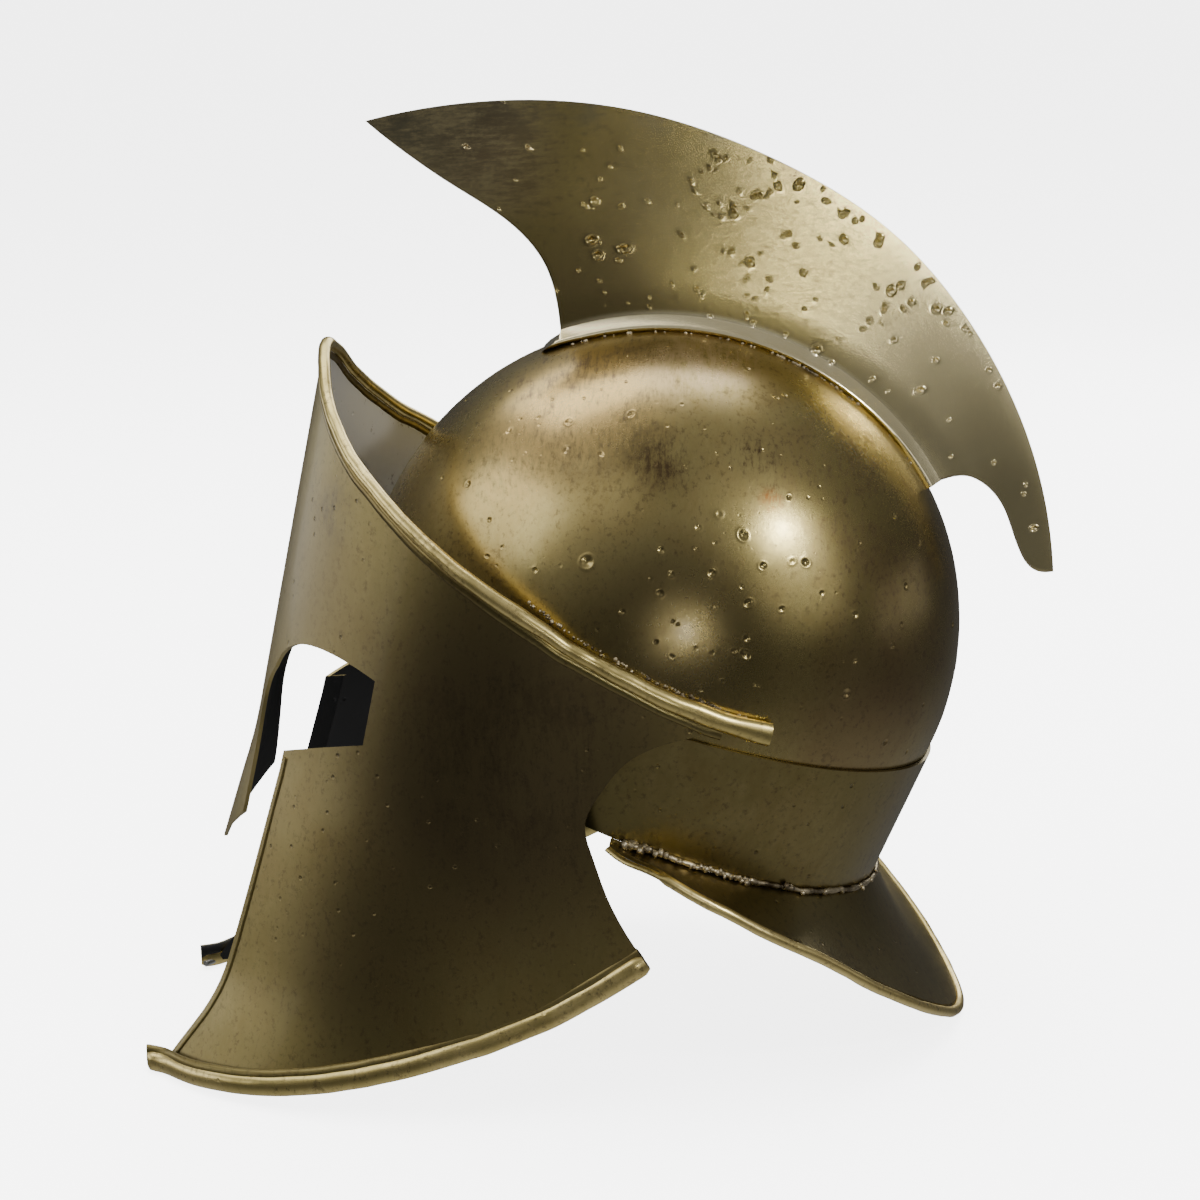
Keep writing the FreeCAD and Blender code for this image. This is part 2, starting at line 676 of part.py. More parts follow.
# Neck guard: flares from the band's lower edge, widest at the sides, lowest at the back
guard_rear = bowl_y + size("guard_rear_back")
guard_wide = bowl_y + size("guard_wide_back")
guard_front = bowl_y - size("guard_front_ahead")
guard_low = size("guard_rim_radius")
GUARD_REAR_SHARE = 0.72
front_depth = (guard_wide - guard_front) / math.sqrt(
    1 - (size("guard_front_half_width") / size("guard_half_width")) ** 2)


def guard_edge(turn):
    share, sign = abs(turn), math.copysign(1.0, turn)
    if share <= GUARD_REAR_SHARE:
        angle = RIGHT_ANGLE * share / GUARD_REAR_SHARE
        x = size("guard_half_width") * math.sin(angle) ** (2 / GUARD_POWER)
        y = guard_wide + (guard_rear - guard_wide) * math.cos(angle) ** (2 / GUARD_POWER)
    else:
        y = between(guard_wide, guard_front, (share - GUARD_REAR_SHARE) / (1 - GUARD_REAR_SHARE))
        x = size("guard_half_width") * math.sqrt(1 - ((guard_wide - y) / front_depth) ** 2)
    drop = along(GUARD_DROP_SHARES, (y - guard_front) / (guard_rear - guard_front))
    return V(sign * x, y, between(size("guard_front_height"), guard_low, drop))


def guard_point(turn, share):
    """The guard's upper face, slightly hollow between the band and its own edge."""
    root = band_low(RIGHT_ANGLE * turn)
    run = guard_edge(turn) + V(0, 0, size("guard_wall") / 2) - root
    run = run * (1 - (size("guard_rim_radius") + size("rim_fit")) / run.Length)
    hang = run.Length * GUARD_HOLLOW_SHARE * share * (1 - share)
    outward = V(run.x, run.y, 0)
    outward.normalize()
    return root + run * share - outward * hang - V(0, 0, hang / 2)


def downward(p):
    return V(0, 0, -1)


edge_full = spline([guard_edge(turn) for turn in ring])
piece("neck_guard", thick_sheet(guard_point, ring, levels, size("guard_wall"), downward))
guard_bore = size("guard_wire_radius") + size("rim_fit")
piece("neck_guard_rim", tube(edge_full, size("guard_rim_radius"), guard_bore, 2 * RIM_STATIONS))
piece("neck_guard_wire", rod(edge_full, size("guard_wire_radius"), 2 * RIM_STATIONS))

# Weld seam in the corner between the band and the guard
SEAM_REACH_SHARE = 0.97
SEAM_LOOK_SHARE = 0.16
seam_points = []
for i in range(RING_STEPS + 1):
    turn = between(-SEAM_REACH_SHARE, SEAM_REACH_SHARE, i / RING_STEPS)
    root = band_low(RIGHT_ANGLE * turn)
    rise = band_top(RIGHT_ANGLE * turn) - root
    fall = guard_point(turn, SEAM_LOOK_SHARE) - root
    rise.normalize()
    fall.normalize()
    halfway = rise + fall
    halfway.normalize()
    spread = math.sqrt(1 - halfway.dot(rise) ** 2)
    seam_points.append(root + halfway * ((size("seam_bead") + size("rim_fit")) / spread))
piece("neck_weld_seam", rod(spline(seam_points), size("seam_bead"), 2 * RIM_STATIONS))

# Liner: a stiff leather band, hung inside the bowl, that carries a slotted leather crown
def oval_prism(grow, low, height):
    """An upright oval prism about the liner's middle."""
    oval = Part.Ellipse(V(0, 0, 0), size("headband_half_length") + grow, size("headband_half_width") + grow)
    prism = Part.Face(Part.Wire([oval.toShape()])).extrude(V(0, 0, height))
    prism.rotate(V(0, 0, 0), V(0, 0, 1), math.degrees(RIGHT_ANGLE))
    prism.translate(V(0, bowl_y, low))
    return prism


leather = size("headband_leather")
band_low_z, band_tall = size("headband_low"), size("headband_height")
headband = oval_prism(0, band_low_z, band_tall).cut(oval_prism(-leather, band_low_z, band_tall))
bracket_metal = size("bracket_metal")
wall = size("bowl_wall")
near_ball = ellipsoid_solid(bowl_a - wall - bracket_metal, bowl_b - wall - bracket_metal,
                            bowl_c - wall - bracket_metal, bowl_y, bowl_z)
bracket_low = band_low_z + (band_tall - size("bracket_height")) / 2
strip_between = oval_prism(bracket_metal, band_low_z, band_tall)
oval_outer = oval_prism(0, band_low_z, band_tall)
through_both = strip_between.cut(oval_prism(-leather, band_low_z, band_tall))
turn = RIGHT_ANGLE * BRACKET_TURN_SHARE
band_a, band_b = size("headband_half_width"), size("headband_half_length")
spot = V(band_a * math.sin(turn), bowl_y - band_b * math.cos(turn), bracket_low)
out = V(math.sin(turn) / band_a, -math.cos(turn) / band_b, 0)
out.normalize()
across = V(-out.y, out.x, 0)
block_start = spot - across * (size("bracket_width") / 2) - out * overrun


def block(height):
    box = Part.makeBox(overrun + bowl_a / 2, size("bracket_width"), height)
    box.Placement = FreeCAD.Placement(block_start, FreeCAD.Rotation(V(1, 0, 0), out))
    return box


tall = block(size("bracket_height"))
on_bowl = tall.common(inner_ball).cut(near_ball)
on_band = tall.common(strip_between).cut(oval_outer)
arm = block(bracket_metal).common(inner_ball).cut(oval_outer)
rise, leather_reach = size("rivet_head_rise"), leather + size("rivet_head_rise")
shank_start = spot + V(0, 0, size("bracket_height") * RIVET_LEVEL_SHARE) - out * leather_reach
shank_reach = leather_reach + bracket_metal + rise
shank = Part.makeCylinder(size("rivet_radius"), shank_reach, shank_start, out)
heads = Part.makeCylinder(size("rivet_head_radius"), shank_reach, shank_start, out).cut(through_both)
rivet = shank.fuse(heads)
bracket = largest(on_bowl.fuse([on_band, arm]).cut(shank))


def to_rear(shape):
    return shape.mirror(V(0, bowl_y, 0), V(0, 1, 0))


rivets = []
for place, moved in (("front", Part.Shape), ("rear", to_rear)):
    for hand, turned in (("left", Part.Shape), ("right", mirrored)):
        piece("liner_bracket_%s_%s" % (place, hand), turned(moved(bracket)))
        rivets.append(turned(moved(rivet)))
        headband = headband.cut(turned(moved(shank)))
piece("liner_headband", headband)
piece("liner_rivets", Part.makeCompound(rivets))

# Crown of the liner: a leather dome in tabs, drawn together by a lace under a felt pad
dome_z = band_low_z + band_tall * DOME_LEVEL_SHARE
dome_a = size("headband_half_width") - leather - size("rim_fit")
dome_b = size("headband_half_length") - leather - size("rim_fit")
dome_c = size("liner_crown_rise")
dome_wall = size("liner_leather")
dome_outer = ellipsoid_solid(dome_a, dome_b, dome_c, bowl_y, dome_z)
dome_inner = ellipsoid_solid(dome_a - dome_wall, dome_b - dome_wall, dome_c - dome_wall, bowl_y, dome_z)
quarter = Part.makeBox(4 * bowl_a, 4 * bowl_b, 4 * bowl_c, V(0, bowl_y, dome_z))
hole = size("liner_crown_hole")
cutters = [Part.makeCylinder(hole, dome_c + overrun, V(0, bowl_y, dome_z))]
slot = Part.makeBox(SLOT_REACH_SHARE * dome_b, size("liner_slot_width"), dome_c + overrun,
                    V(0, -size("liner_slot_width") / 2, 0))
for i in range(QUARTER_SLOTS):
    turned_slot = slot.copy()
    slot_turn = (2 * i + 1) * math.degrees(RIGHT_ANGLE) / (2 * QUARTER_SLOTS)
    turned_slot.rotate(V(0, 0, 0), V(0, 0, 1), slot_turn)
    turned_slot.translate(V(0, bowl_y, dome_z))
    cutters.append(turned_slot)
dome = largest(dome_outer.cut(dome_inner).common(quarter).cut(cutters))
piece("liner_crown", whole(dome.fuse(to_rear(dome))))
lace = size("lace_radius")
lace_z = dome_z + (dome_c - dome_wall / 2) * math.sqrt(1 - (hole / dome_a) ** 2) - size("rim_fit")
piece("liner_lace", Part.makeTorus(hole - lace, lace, V(0, bowl_y, lace_z)))
pad = Part.makeCylinder(size("pad_radius"), 2 * bowl_c, V(0, bowl_y, dome_z))
piece("liner_pad", largest(pad.common(inner_ball).cut(dome_outer)))

doc.recompute()
for item in doc.Objects:
    if "Invalid" in item.State or "Error" in item.State:
        raise ValueError("%s did not compute" % item.Label)
for part in made:
    if part.Shape.isNull() or not part.Shape.isValid() or not part.Shape.Solids:
        raise ValueError("%s is not a valid solid" % part.Label)
for part in made:
    part.Shape.exportStep("parts/%s.step" % part.Label)
    print(part.Label, len(part.Shape.Solids), round(part.Shape.Volume))
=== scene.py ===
import bmesh
import bpy
import math
import random
from mathutils import Matrix, Vector, kdtree, noise
from mathutils.bvhtree import BVHTree


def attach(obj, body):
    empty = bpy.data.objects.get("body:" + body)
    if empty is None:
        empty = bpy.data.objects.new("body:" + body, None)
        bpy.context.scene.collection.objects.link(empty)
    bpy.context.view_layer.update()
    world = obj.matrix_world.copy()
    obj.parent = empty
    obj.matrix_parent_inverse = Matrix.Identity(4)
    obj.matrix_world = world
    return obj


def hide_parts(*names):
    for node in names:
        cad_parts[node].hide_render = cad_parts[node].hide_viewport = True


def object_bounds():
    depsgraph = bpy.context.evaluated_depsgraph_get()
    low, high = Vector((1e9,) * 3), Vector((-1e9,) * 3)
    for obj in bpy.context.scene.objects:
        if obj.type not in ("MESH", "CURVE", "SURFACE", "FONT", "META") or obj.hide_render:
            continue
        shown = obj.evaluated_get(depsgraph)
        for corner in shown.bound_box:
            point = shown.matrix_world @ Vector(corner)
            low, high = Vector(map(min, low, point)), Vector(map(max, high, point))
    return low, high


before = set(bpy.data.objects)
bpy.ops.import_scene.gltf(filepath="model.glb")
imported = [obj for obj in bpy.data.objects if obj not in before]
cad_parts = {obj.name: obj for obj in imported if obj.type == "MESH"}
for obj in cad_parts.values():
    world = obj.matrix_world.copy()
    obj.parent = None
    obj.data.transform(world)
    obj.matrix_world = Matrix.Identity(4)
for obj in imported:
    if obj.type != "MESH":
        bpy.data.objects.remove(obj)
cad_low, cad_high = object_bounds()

bl_info = {
    "name": "Gladiator Helmet",
    "version": (1, 0, 0),
    "blender": (4, 5, 0),
    "location": "View3D > Sidebar > Helmet",
    "description": "Builds a worn bronzed gladiator helmet round its packed frame",
    "category": "Object",
}

MM = 0.001

# Sizes of the sheet metal in millimetres; the crest's tip and tail are given as y and z
BOWL_HALF = Vector((105.0, 126.4, 125.6))
BOWL_MIDDLE = Vector((0, 30.5, 178.4))
BOWL_WALL = 1.4
BOWL_EDGE_DROP = 24.0
BOWL_EDGE_TILT = math.radians(21.0)
PLATE_FRONT_FOOT = -181.5
PLATE_FRONT_LEAN = 0.255
PLATE_NOSE_DEPTH = 121.0
BAND_MIDDLE = 12.0
CREST_TIP = Vector((-81.0, 392.4))
CREST_TAIL = Vector((196.1, 193.8))
CREST_FOOT_FRONT, CREST_FOOT_REAR = -36.0, 113.5
CREST_EDGE, CREST_SWELL, SWELL_POWER = 0.8, 5.4, 1.35
FLANGE_RISE = 5.6
HEADBAND_HALF = Vector((84.0, 103.0))
STITCH_LEVELS, STITCHES_ROUND = (194.4, 227.6), 104
STITCH_HALF = (2.0, 0.55, 0.45)

# Radii of the rolled rims; the brow's go by the share of the way from its middle to an end
CHEEK_ROLL, GUARD_ROLL = 2.85, 2.25
BROW_RIM_RADII = ((0.0, 2.7), (0.15, 2.4), (0.45, 2.8), (0.62, 3.3), (0.70, 3.1), (0.85, 3.8),
                  (0.955, 4.2), (1.0, 4.8))

# Half the width and half the thickness of the guard rim's flat ends, and of the lips, folds and hems
GUARD_FLAT_END, BROW_LIP, CHEEK_FOLD = (2.1, 1.15), (2.3, 1.35), (3.2, 1.6)
GUARD_LIP, HEM = (2.7, 1.1), (1.35, 0.75)

# How far out and how high over the bowl each fold of the crest's flange lies
FLANGE_PROFILE = ((10.5, 2.0), (11.3, 1.5), (11.6, 0.9), (11.2, 0.3), (9.6, -0.9))

# How many parts each line, grid or row of casts is divided into
BROW_RUNS, CHEEK_RUNS, GUARD_RUNS, SEAM_RUNS, CRUMB_RUNS = 300, 110, 330, 420, 200
CREST_RUNS, FOOT_RUNS, BORDER_CASTS, HEM_CASTS = 400, 120, 160, 60
BOWL_GRID, CREST_GRID = (168, 116), (180, 56)

# The raised border of a mark as a share of its depth
PIT_BORDER, BOWL_DENT_BORDER = 0.42, 0.16

# Crest pits against their measured radius, and the depth of bowl dents against that of pits
CREST_PIT_SIZE, BOWL_DENT_DEPTH = 0.86, 0.58

# Seeds of the random draws
BOWL_SEED, CREST_SEED, WELD_SEED = 11, 23, 5

# The camera, which also places marks by pixels of the photograph
EYE = Vector((1.0606, 0.0816, 0.4687))
AIM = Vector((0, 0.0050, 0.1874))
UPWARD = Vector((-0.2584, 0.0310, 0.9655))
LENS, SENSOR, PICTURE = 77.55, 36.0, 1200
BACK = (EYE - AIM).normalized()
RIGHT = UPWARD.cross(BACK).normalized()
UP = BACK.cross(RIGHT)

# Pits and dents of the near side: pixel across, pixel down, radius in millimetres
CREST_PITS = (
    (592, 240, 2.2), (598, 255, 1.9), (622, 249, 1.8), (627, 248, 1.8), (618, 260, 1.1),
    (799, 185, 1.9), (755, 196, 1.4), (760, 195, 1.4), (734, 207, 1.4), (734, 214, 1.4),
    (826, 201, 1.2), (715, 155, 1.1), (719, 159, 1.1), (726, 158, 1.1), (771, 159, 1.1),
    (750, 161, 0.8), (823, 189, 0.8), (783, 236, 0.9), (788, 234, 1.1), (796, 246, 1.1),
    (820, 239, 0.8), (832, 245, 0.8), (732, 251, 1.1), (760, 254, 0.8), (682, 235, 1.1),
    (647, 201, 0.9), (739, 191, 0.9), (880, 237, 1.2), (878, 243, 1.4), (917, 267, 1.1),
    (925, 283, 1.4), (876, 287, 1.1), (891, 291, 1.6), (885, 306, 1.1), (936, 309, 1.5),
    (948, 311, 1.5), (946, 323, 1.2), (970, 333, 0.9), (894, 340, 1.2), (936, 360, 1.1),
    (920, 390, 1.8), (872, 379, 1.1), (989, 370, 1.1), (998, 386, 1.1), (863, 329, 0.8),
    (804, 309, 0.7), (803, 273, 1.1), (746, 296, 0.8), (756, 299, 0.9), (697, 289, 1.2),
    (746, 280, 0.8), (672, 284, 0.8), (786, 334, 1.1), (753, 323, 1.1), (816, 350, 1.9),
    (831, 363, 1.2), (710, 317, 1.1), (649, 297, 0.8), (599, 281, 0.9), (578, 270, 0.8),
    (949, 420, 0.8), (994, 463, 0.8), (951, 457, 0.8), (1026, 485, 0.8), (1024, 494, 0.9),
    (1034, 528, 1.5), (842, 215, 1.1), (846, 214, 0.8), (855, 221, 0.9), (862, 219, 0.9),
    (778, 187, 1.1), (774, 177, 0.8), (770, 192, 0.9), (767, 197, 0.8), (702, 172, 0.8),
    (710, 168, 0.9), (716, 170, 0.8), (691, 181, 0.9), (694, 191, 0.9), (600, 179, 0.8),
    (610, 167, 0.7), (620, 148, 0.9), (582, 150, 0.7), (583, 204, 0.8), (706, 207, 0.8),
    (713, 215, 0.7), (719, 203, 0.8), (721, 217, 0.7), (742, 264, 0.8), (770, 280, 0.9),
    (869, 321, 1.1), (888, 391, 0.7), (911, 302, 1.2), (903, 309, 1.1),
)
BOWL_DENTS = (
    (601, 454, 1.5), (748, 369, 1.2), (776, 397, 1.4), (511, 462, 0.8), (442, 478, 1.1),
    (489, 520, 1.2), (502, 547, 0.8), (661, 550, 1.5), (743, 535, 2.1), (712, 573, 1.7),
    (671, 574, 1.2), (696, 549, 0.9), (715, 543, 0.8), (660, 593, 1.4), (650, 579, 0.9),
    (748, 603, 1.7), (742, 587, 0.9), (763, 566, 1.4), (782, 609, 1.2), (746, 655, 2.0),
    (734, 651, 1.1), (712, 653, 0.9), (696, 648, 0.8), (672, 656, 0.9), (673, 621, 0.9),
    (678, 624, 0.8), (656, 642, 1.1), (747, 639, 1.2), (713, 608, 0.8), (622, 612, 1.2),
    (597, 630, 0.8), (587, 562, 2.4), (701, 689, 1.2), (754, 685, 0.9), (758, 686, 0.8),
    (895, 516, 1.4), (920, 543, 1.4), (860, 543, 0.9), (893, 646, 1.2), (902, 624, 0.9),
    (855, 661, 1.2), (824, 466, 0.9), (682, 404, 0.8), (535, 570, 1.1), (487, 556, 1.2),
    (822, 593, 1.1), (789, 497, 1.2),
)


def clamp(value, low=0.0, high=1.0):
    """The value, held between two limits."""
    return max(low, min(high, value))


def mix(low, high, share):
    """The low number where the share is 0, the high one where it is 1."""
    return low + (high - low) * share


def ease(low, high, value):
    """0 below the low edge, 1 above the high one, smooth between."""
    share = clamp((value - low) / (high - low))
    return share * share * (3 - 2 * share)


# Shader writing: a wrapped socket, so that maths on masks reads as maths

class Wire:
    """A shader socket or a number that can be added, multiplied and so on."""

    def __init__(self, maker, value):
        self.maker, self.value = maker, value

    def math(self, operation, *others):
        values = [self.value] + [other.value if isinstance(other, Wire) else other for other in others]
        node = self.maker.node("ShaderNodeMath", {"operation": operation}, dict(enumerate(values)))
        return Wire(self.maker, node.outputs[0])

    def __add__(self, other):
        return self.math("ADD", other)

    def __sub__(self, other):
        return self.math("SUBTRACT", other)

    def __mul__(self, other):
        return self.math("MULTIPLY", other)

    def __rsub__(self, other):
        return Wire(self.maker, other).math("SUBTRACT", self)

    __radd__, __rmul__ = __add__, __mul__

    def max(self, other):
        return self.math("MAXIMUM", other)

    def min(self, other):
        return self.math("MINIMUM", other)

    def step(self, low, high):
        """Smooth 0 to 1 between two edges."""
        node = self.maker.node("ShaderNodeMapRange", {"interpolation_type": "SMOOTHSTEP"},
                               {"Value": self.value, "From Min": low, "From Max": high})
        return Wire(self.maker, node.outputs[0])


class Finish:
    """A material, or the world's background, under construction."""

    def __init__(self, name, world=None):
        self.owner = world or bpy.data.materials.new(name)
        self.owner.use_nodes = True
        self.tree = self.owner.node_tree
        self.tree.nodes.clear()
        self.place = self.node("ShaderNodeTexCoord").outputs["Generated" if world else "Object"]

    def node(self, kind, settings=None, sockets=None):
        node = self.tree.nodes.new(kind)
        for key, value in (settings or {}).items():
            if key == "stops":
                ramp = node.color_ramp.elements
                while len(ramp) < len(value):
                    ramp.new(0.5)
                for stop, (position, colour) in zip(ramp, value):
                    stop.position, stop.color = position, colour
            else:
                setattr(node, key, value)
        for key, value in (sockets or {}).items():
            socket = node.inputs[key]
            value = value.value if isinstance(value, Wire) else value
            if isinstance(value, bpy.types.NodeSocket):
                self.tree.links.new(value, socket)
            else:
                socket.default_value = value
        return node

    def mapped(self, scale, turn=(0, 0, 0), shift=(0, 0, 0)):
        node = self.node("ShaderNodeMapping", {}, {"Vector": self.place, "Scale": scale, "Rotation": turn,
                                                   "Location": shift})
        return node.outputs[0]

    def noise(self, scale, detail=4.0, rough=0.55, vector=None, distort=0.0):
        node = self.node("ShaderNodeTexNoise", {}, {"Vector": vector or self.place, "Scale": scale,
                                                    "Detail": detail, "Roughness": rough,
                                                    "Distortion": distort})
        return Wire(self, node.outputs[0])

    def cells(self, scale, spread=1.0, vector=None):
        node = self.node("ShaderNodeTexVoronoi", {}, {"Vector": vector or self.place, "Scale": scale,
                                                      "Randomness": spread})
        return Wire(self, node.outputs["Distance"])

    def blend(self, low, high, mask):
        """Colour low where the mask is 0, high where it is 1."""
        node = self.node("ShaderNodeMix", {"data_type": "RGBA"}, {0: mask, 6: low, 7: high})
        return node.outputs[2]

    def axis(self, name):
        node = self.node("ShaderNodeSeparateXYZ", {}, {0: self.place})
        return Wire(self, node.outputs[name])

    def fade(self, place, near, far):
        """1 up to the near distance from a place in millimetres, 0 from the far one on."""
        gap = self.node("ShaderNodeVectorMath", {"operation": "DISTANCE"},
                        {0: self.place, 1: [c * MM for c in place]}).outputs["Value"]
        return 1.0 - Wire(self, gap).step(near * MM, far * MM)

    def bump(self, height, strength, distance, below=None):
        sockets = {"Height": height, "Strength": strength, "Distance": distance}
        if below is not None:
            sockets["Normal"] = below
        return self.node("ShaderNodeBump", {}, sockets).outputs[0]

    def close(self, sockets):
        """The principled surface, with constants and links on its own sockets."""
        surface = self.node("ShaderNodeBsdfPrincipled", {}, sockets)
        output = self.node("ShaderNodeOutputMaterial")
        self.tree.links.new(surface.outputs[0], output.inputs[0])
        return self.owner


# Plain colours of the paint, of the steel behind the brow, and the share of brass in its brown shade
PAINT_DARK, PAINT_LIGHT = (0.010, 0.010, 0.010), (0.028, 0.025, 0.021)
STEEL_PALE, STEEL_STAINED = (0.66, 0.65, 0.625), (0.10, 0.09, 0.08)
BROWN_SHARES = (0.80, 0.60, 0.46)


def rgb(colour, tone=1.0):
    """A colour made lighter or darker, as a socket takes it."""
    return (colour[0] * tone, colour[1] * tone, colour[2] * tone, 1.0)


def outside_share(f, middle, lean, flat):
    """How far a face looks away from the helmet's middle: 1 outside, 0 on a cut edge, -1 inside."""
    side = f.axis("Y") - middle - f.axis("Z") * lean
    line = f.node("ShaderNodeCombineXYZ", {}, {"X": f.axis("X"), "Y": side, "Z": f.axis("Z") * flat})
    away = f.node("ShaderNodeVectorMath", {"operation": "NORMALIZE"}, {0: line.outputs[0]})
    normal = f.node("ShaderNodeNewGeometry").outputs["Normal"]
    return Wire(f, f.node("ShaderNodeVectorMath", {"operation": "DOT_PRODUCT"},
                          {0: away.outputs[0], 1: normal}).outputs["Value"])


def aged_brass(name, tone, warm=0.0, brush=(1, 1, 1), turn=(0, 0, 0), shift=0.0, pits=1.0, stains=(),
               sides=None, back="paint", painted_light_and_shade=(), rub=0.6, matt=0.22, mottle=1.0):
    """Antique brass wash over steel: mottled patina, brushed grain, pits, stains and a lacquer coat.

    Tone is its brightness and warm its share of brown. Brush and turn stretch the grain, shift moves the
    patterns. Stains, and smooth patches of painted light and painted shade, are rows of place, near and
    far edge in millimetres, colour and weight.
    Sides are outside_share's numbers for a sheet whose inside shows, and back says whether that is all
    paint or bare steel behind the brow. Pits, rub, matt and mottle set how strong each of these is.
    """
    colours = bpy.context.scene.helmet_finish
    brass, patina, rubbed = colours.brass, colours.patina, colours.rubbed
    f = Finish(name)
    offset = (shift, shift * 2, -shift)
    # Noise patterns, whose scales are in waves per metre
    broad = f.noise(11.0, 3.0, 0.5, f.mapped((1, 1, 1), shift=offset))
    cloud = f.noise(34.0, 6.0, 0.66, f.mapped((1, 1, 1), shift=offset), 0.6)
    fine = f.noise(420.0, 4.0, 0.7)
    grain = f.noise(120.0, 7.0, 0.75, f.mapped(brush, turn))
    worn = (broad * 0.6 + grain * 0.4).step(0.42, 0.62) * rub
    colour = f.blend(rgb(brass, tone), rgb(rubbed, tone), worn)
    brown = [part * share for part, share in zip(brass, BROWN_SHARES)]
    browned = (cloud * 0.7 + broad * 0.3).step(0.42, 0.66) * (0.30 + warm) * mottle
    colour = f.blend(colour, rgb(brown, tone), browned)
    speck = (fine * 0.55 + grain * 0.45).step(0.50, 0.64)
    colour = f.blend(colour, rgb(patina, tone), speck * 0.34)
    flake = (cloud * 0.35 + fine * 0.5 + grain * 0.15).step(0.53, 0.61) * mottle
    colour = f.blend(colour, rgb(patina, 1.0), flake * 0.30)
    rough = matt + broad * 0.10 + cloud * 0.05 + fine * 0.05
    # Smooth patches of painted light and painted shade, laid over the brass's colour
    for place, near, far, shade, weight in painted_light_and_shade:
        cover = (f.fade(place, near, far) * (0.7 + broad * 0.5)).min(1.0)
        colour = f.blend(colour, rgb(shade), cover * weight)
    stained = Wire(f, 0.0)
    for place, near, far, shade, weight in stains:
        blotch = (cloud * 0.45 + grain * 0.45 + fine * 0.10).step(0.43, 0.60)
        blotch = 1.0 - blotch if shade[0] > 0.4 else blotch
        patch = f.fade(place, near, far) * blotch
        colour = f.blend(colour, rgb(shade), patch * weight)
        stained = stained.max(patch * weight)
    wide_cells = f.cells(135.0, 1.0, f.mapped((1, 1, 1), shift=offset))
    patchy = f.noise(13.0, 2.0, 0.5, f.mapped((1, 1, 1), shift=(0.3, shift, 0))).step(0.50, 0.62)
    dimple = (1.0 - wide_cells.step(0.05, 0.15)) * patchy
    small_cells = f.cells(330.0, 1.0)
    pinhole = (1.0 - small_cells.step(0.05, 0.17)) * f.noise(27.0, 2.0, 0.5).step(0.50, 0.60)
    colour = f.blend(colour, rgb(patina, 0.8), dimple.max(pinhole * 0.5) * 0.35 * pits)
    normal = f.bump((dimple * -1.0 + pinhole * -0.15) * pits, 0.6, 0.0005)
    normal = f.bump(grain * 0.6 + fine * 0.4, 0.12, 0.0003, normal)
    metal = 1.0 - stained * 0.04
    if sides:
        facing = outside_share(f, *sides)
        edge = (1.0 - facing.step(0.20, 0.42)) * facing.step(-0.42, -0.20)
        inner = 1.0 - facing.step(-0.42, -0.22)
        colour = f.blend(colour, rgb(rubbed, min(1.0, tone * 1.15)), edge * (0.45 + fine * 0.5))
        if back == "paint":
            shade = f.blend(rgb(PAINT_DARK), rgb(PAINT_LIGHT), cloud.step(0.4, 0.65))
        else:
            high = f.axis("Z").step(0.196, 0.216)
            chip = (cloud * 0.45 + grain * 0.55).step(0.56, 0.62)
            steel = f.blend(rgb(STEEL_PALE), rgb(STEEL_STAINED), chip * 0.85)
            shade = f.blend(rgb(PAINT_DARK), steel, high)
        colour = f.blend(colour, shade, inner)
        metal = metal * (1.0 - inner) + (inner * high * 0.6 if back != "paint" else 0.0)
        rough = rough * (1.0 - inner) + inner * (0.34 + cloud * 0.2)
    return f.close({"Base Color": colour, "Metallic": metal, "Roughness": rough, "Normal": normal,
                    "Coat Weight": 0.10, "Coat Roughness": 0.12})


def black_paint(name):
    f = Finish(name)
    cloud = f.noise(40.0, 4.0, 0.6)
    colour = f.blend(rgb(PAINT_DARK), rgb(PAINT_LIGHT), cloud.step(0.4, 0.7))
    normal = f.bump(f.noise(260.0, 4.0, 0.6), 0.15, 0.0004)
    return f.close({"Base Color": colour, "Roughness": 0.34 + cloud * 0.2, "Normal": normal})


def bare_steel(name, tone=0.36, warm=1.0):
    f = Finish(name)
    cloud = f.noise(60.0, 5.0, 0.6)
    fleck = f.noise(330.0, 4.0, 0.7).step(0.56, 0.66)
    colour = f.blend(rgb((tone, tone * mix(1.0, 0.86, warm), tone * mix(0.97, 0.58, warm))),
                     rgb((0.10, 0.075, 0.045)), cloud.step(0.42, 0.66))
    colour = f.blend(colour, rgb((0.05, 0.04, 0.03)), fleck * 0.6)
    normal = f.bump(f.noise(420.0, 4.0, 0.6), 0.4, 0.0005)
    return f.close({"Base Color": colour, "Metallic": 0.95, "Roughness": 0.30 + cloud * 0.25,
                    "Normal": normal})


def dark_leather(name, tone=1.0):
    f = Finish(name)
    cloud = f.noise(22.0, 5.0, 0.6)
    grain = f.cells(620.0, 0.9)
    wrinkle = f.noise(140.0, 5.0, 0.7, f.mapped((1, 1, 4)))
    colour = f.blend(rgb((0.050, 0.026, 0.014), tone), rgb((0.115, 0.062, 0.032), tone),
                     cloud.step(0.35, 0.7))
    colour = f.blend(colour, rgb((0.02, 0.012, 0.008), tone), (1.0 - grain.step(0.02, 0.2)) * 0.4)
    normal = f.bump(grain * 0.6 + wrinkle * 0.6, 0.4, 0.0004)
    return f.close({"Base Color": colour, "Roughness": 0.48 + cloud * 0.2, "Normal": normal})


def waxed_thread(name):
    f = Finish(name)
    twist = f.noise(900.0, 2.0, 0.5, f.mapped((1, 1, 3)))
    colour = f.blend(rgb((0.30, 0.23, 0.14)), rgb((0.16, 0.12, 0.07)), twist.step(0.4, 0.6))
    return f.close({"Base Color": colour, "Roughness": 0.6, "Normal": f.bump(twist, 0.5, 0.0003)})


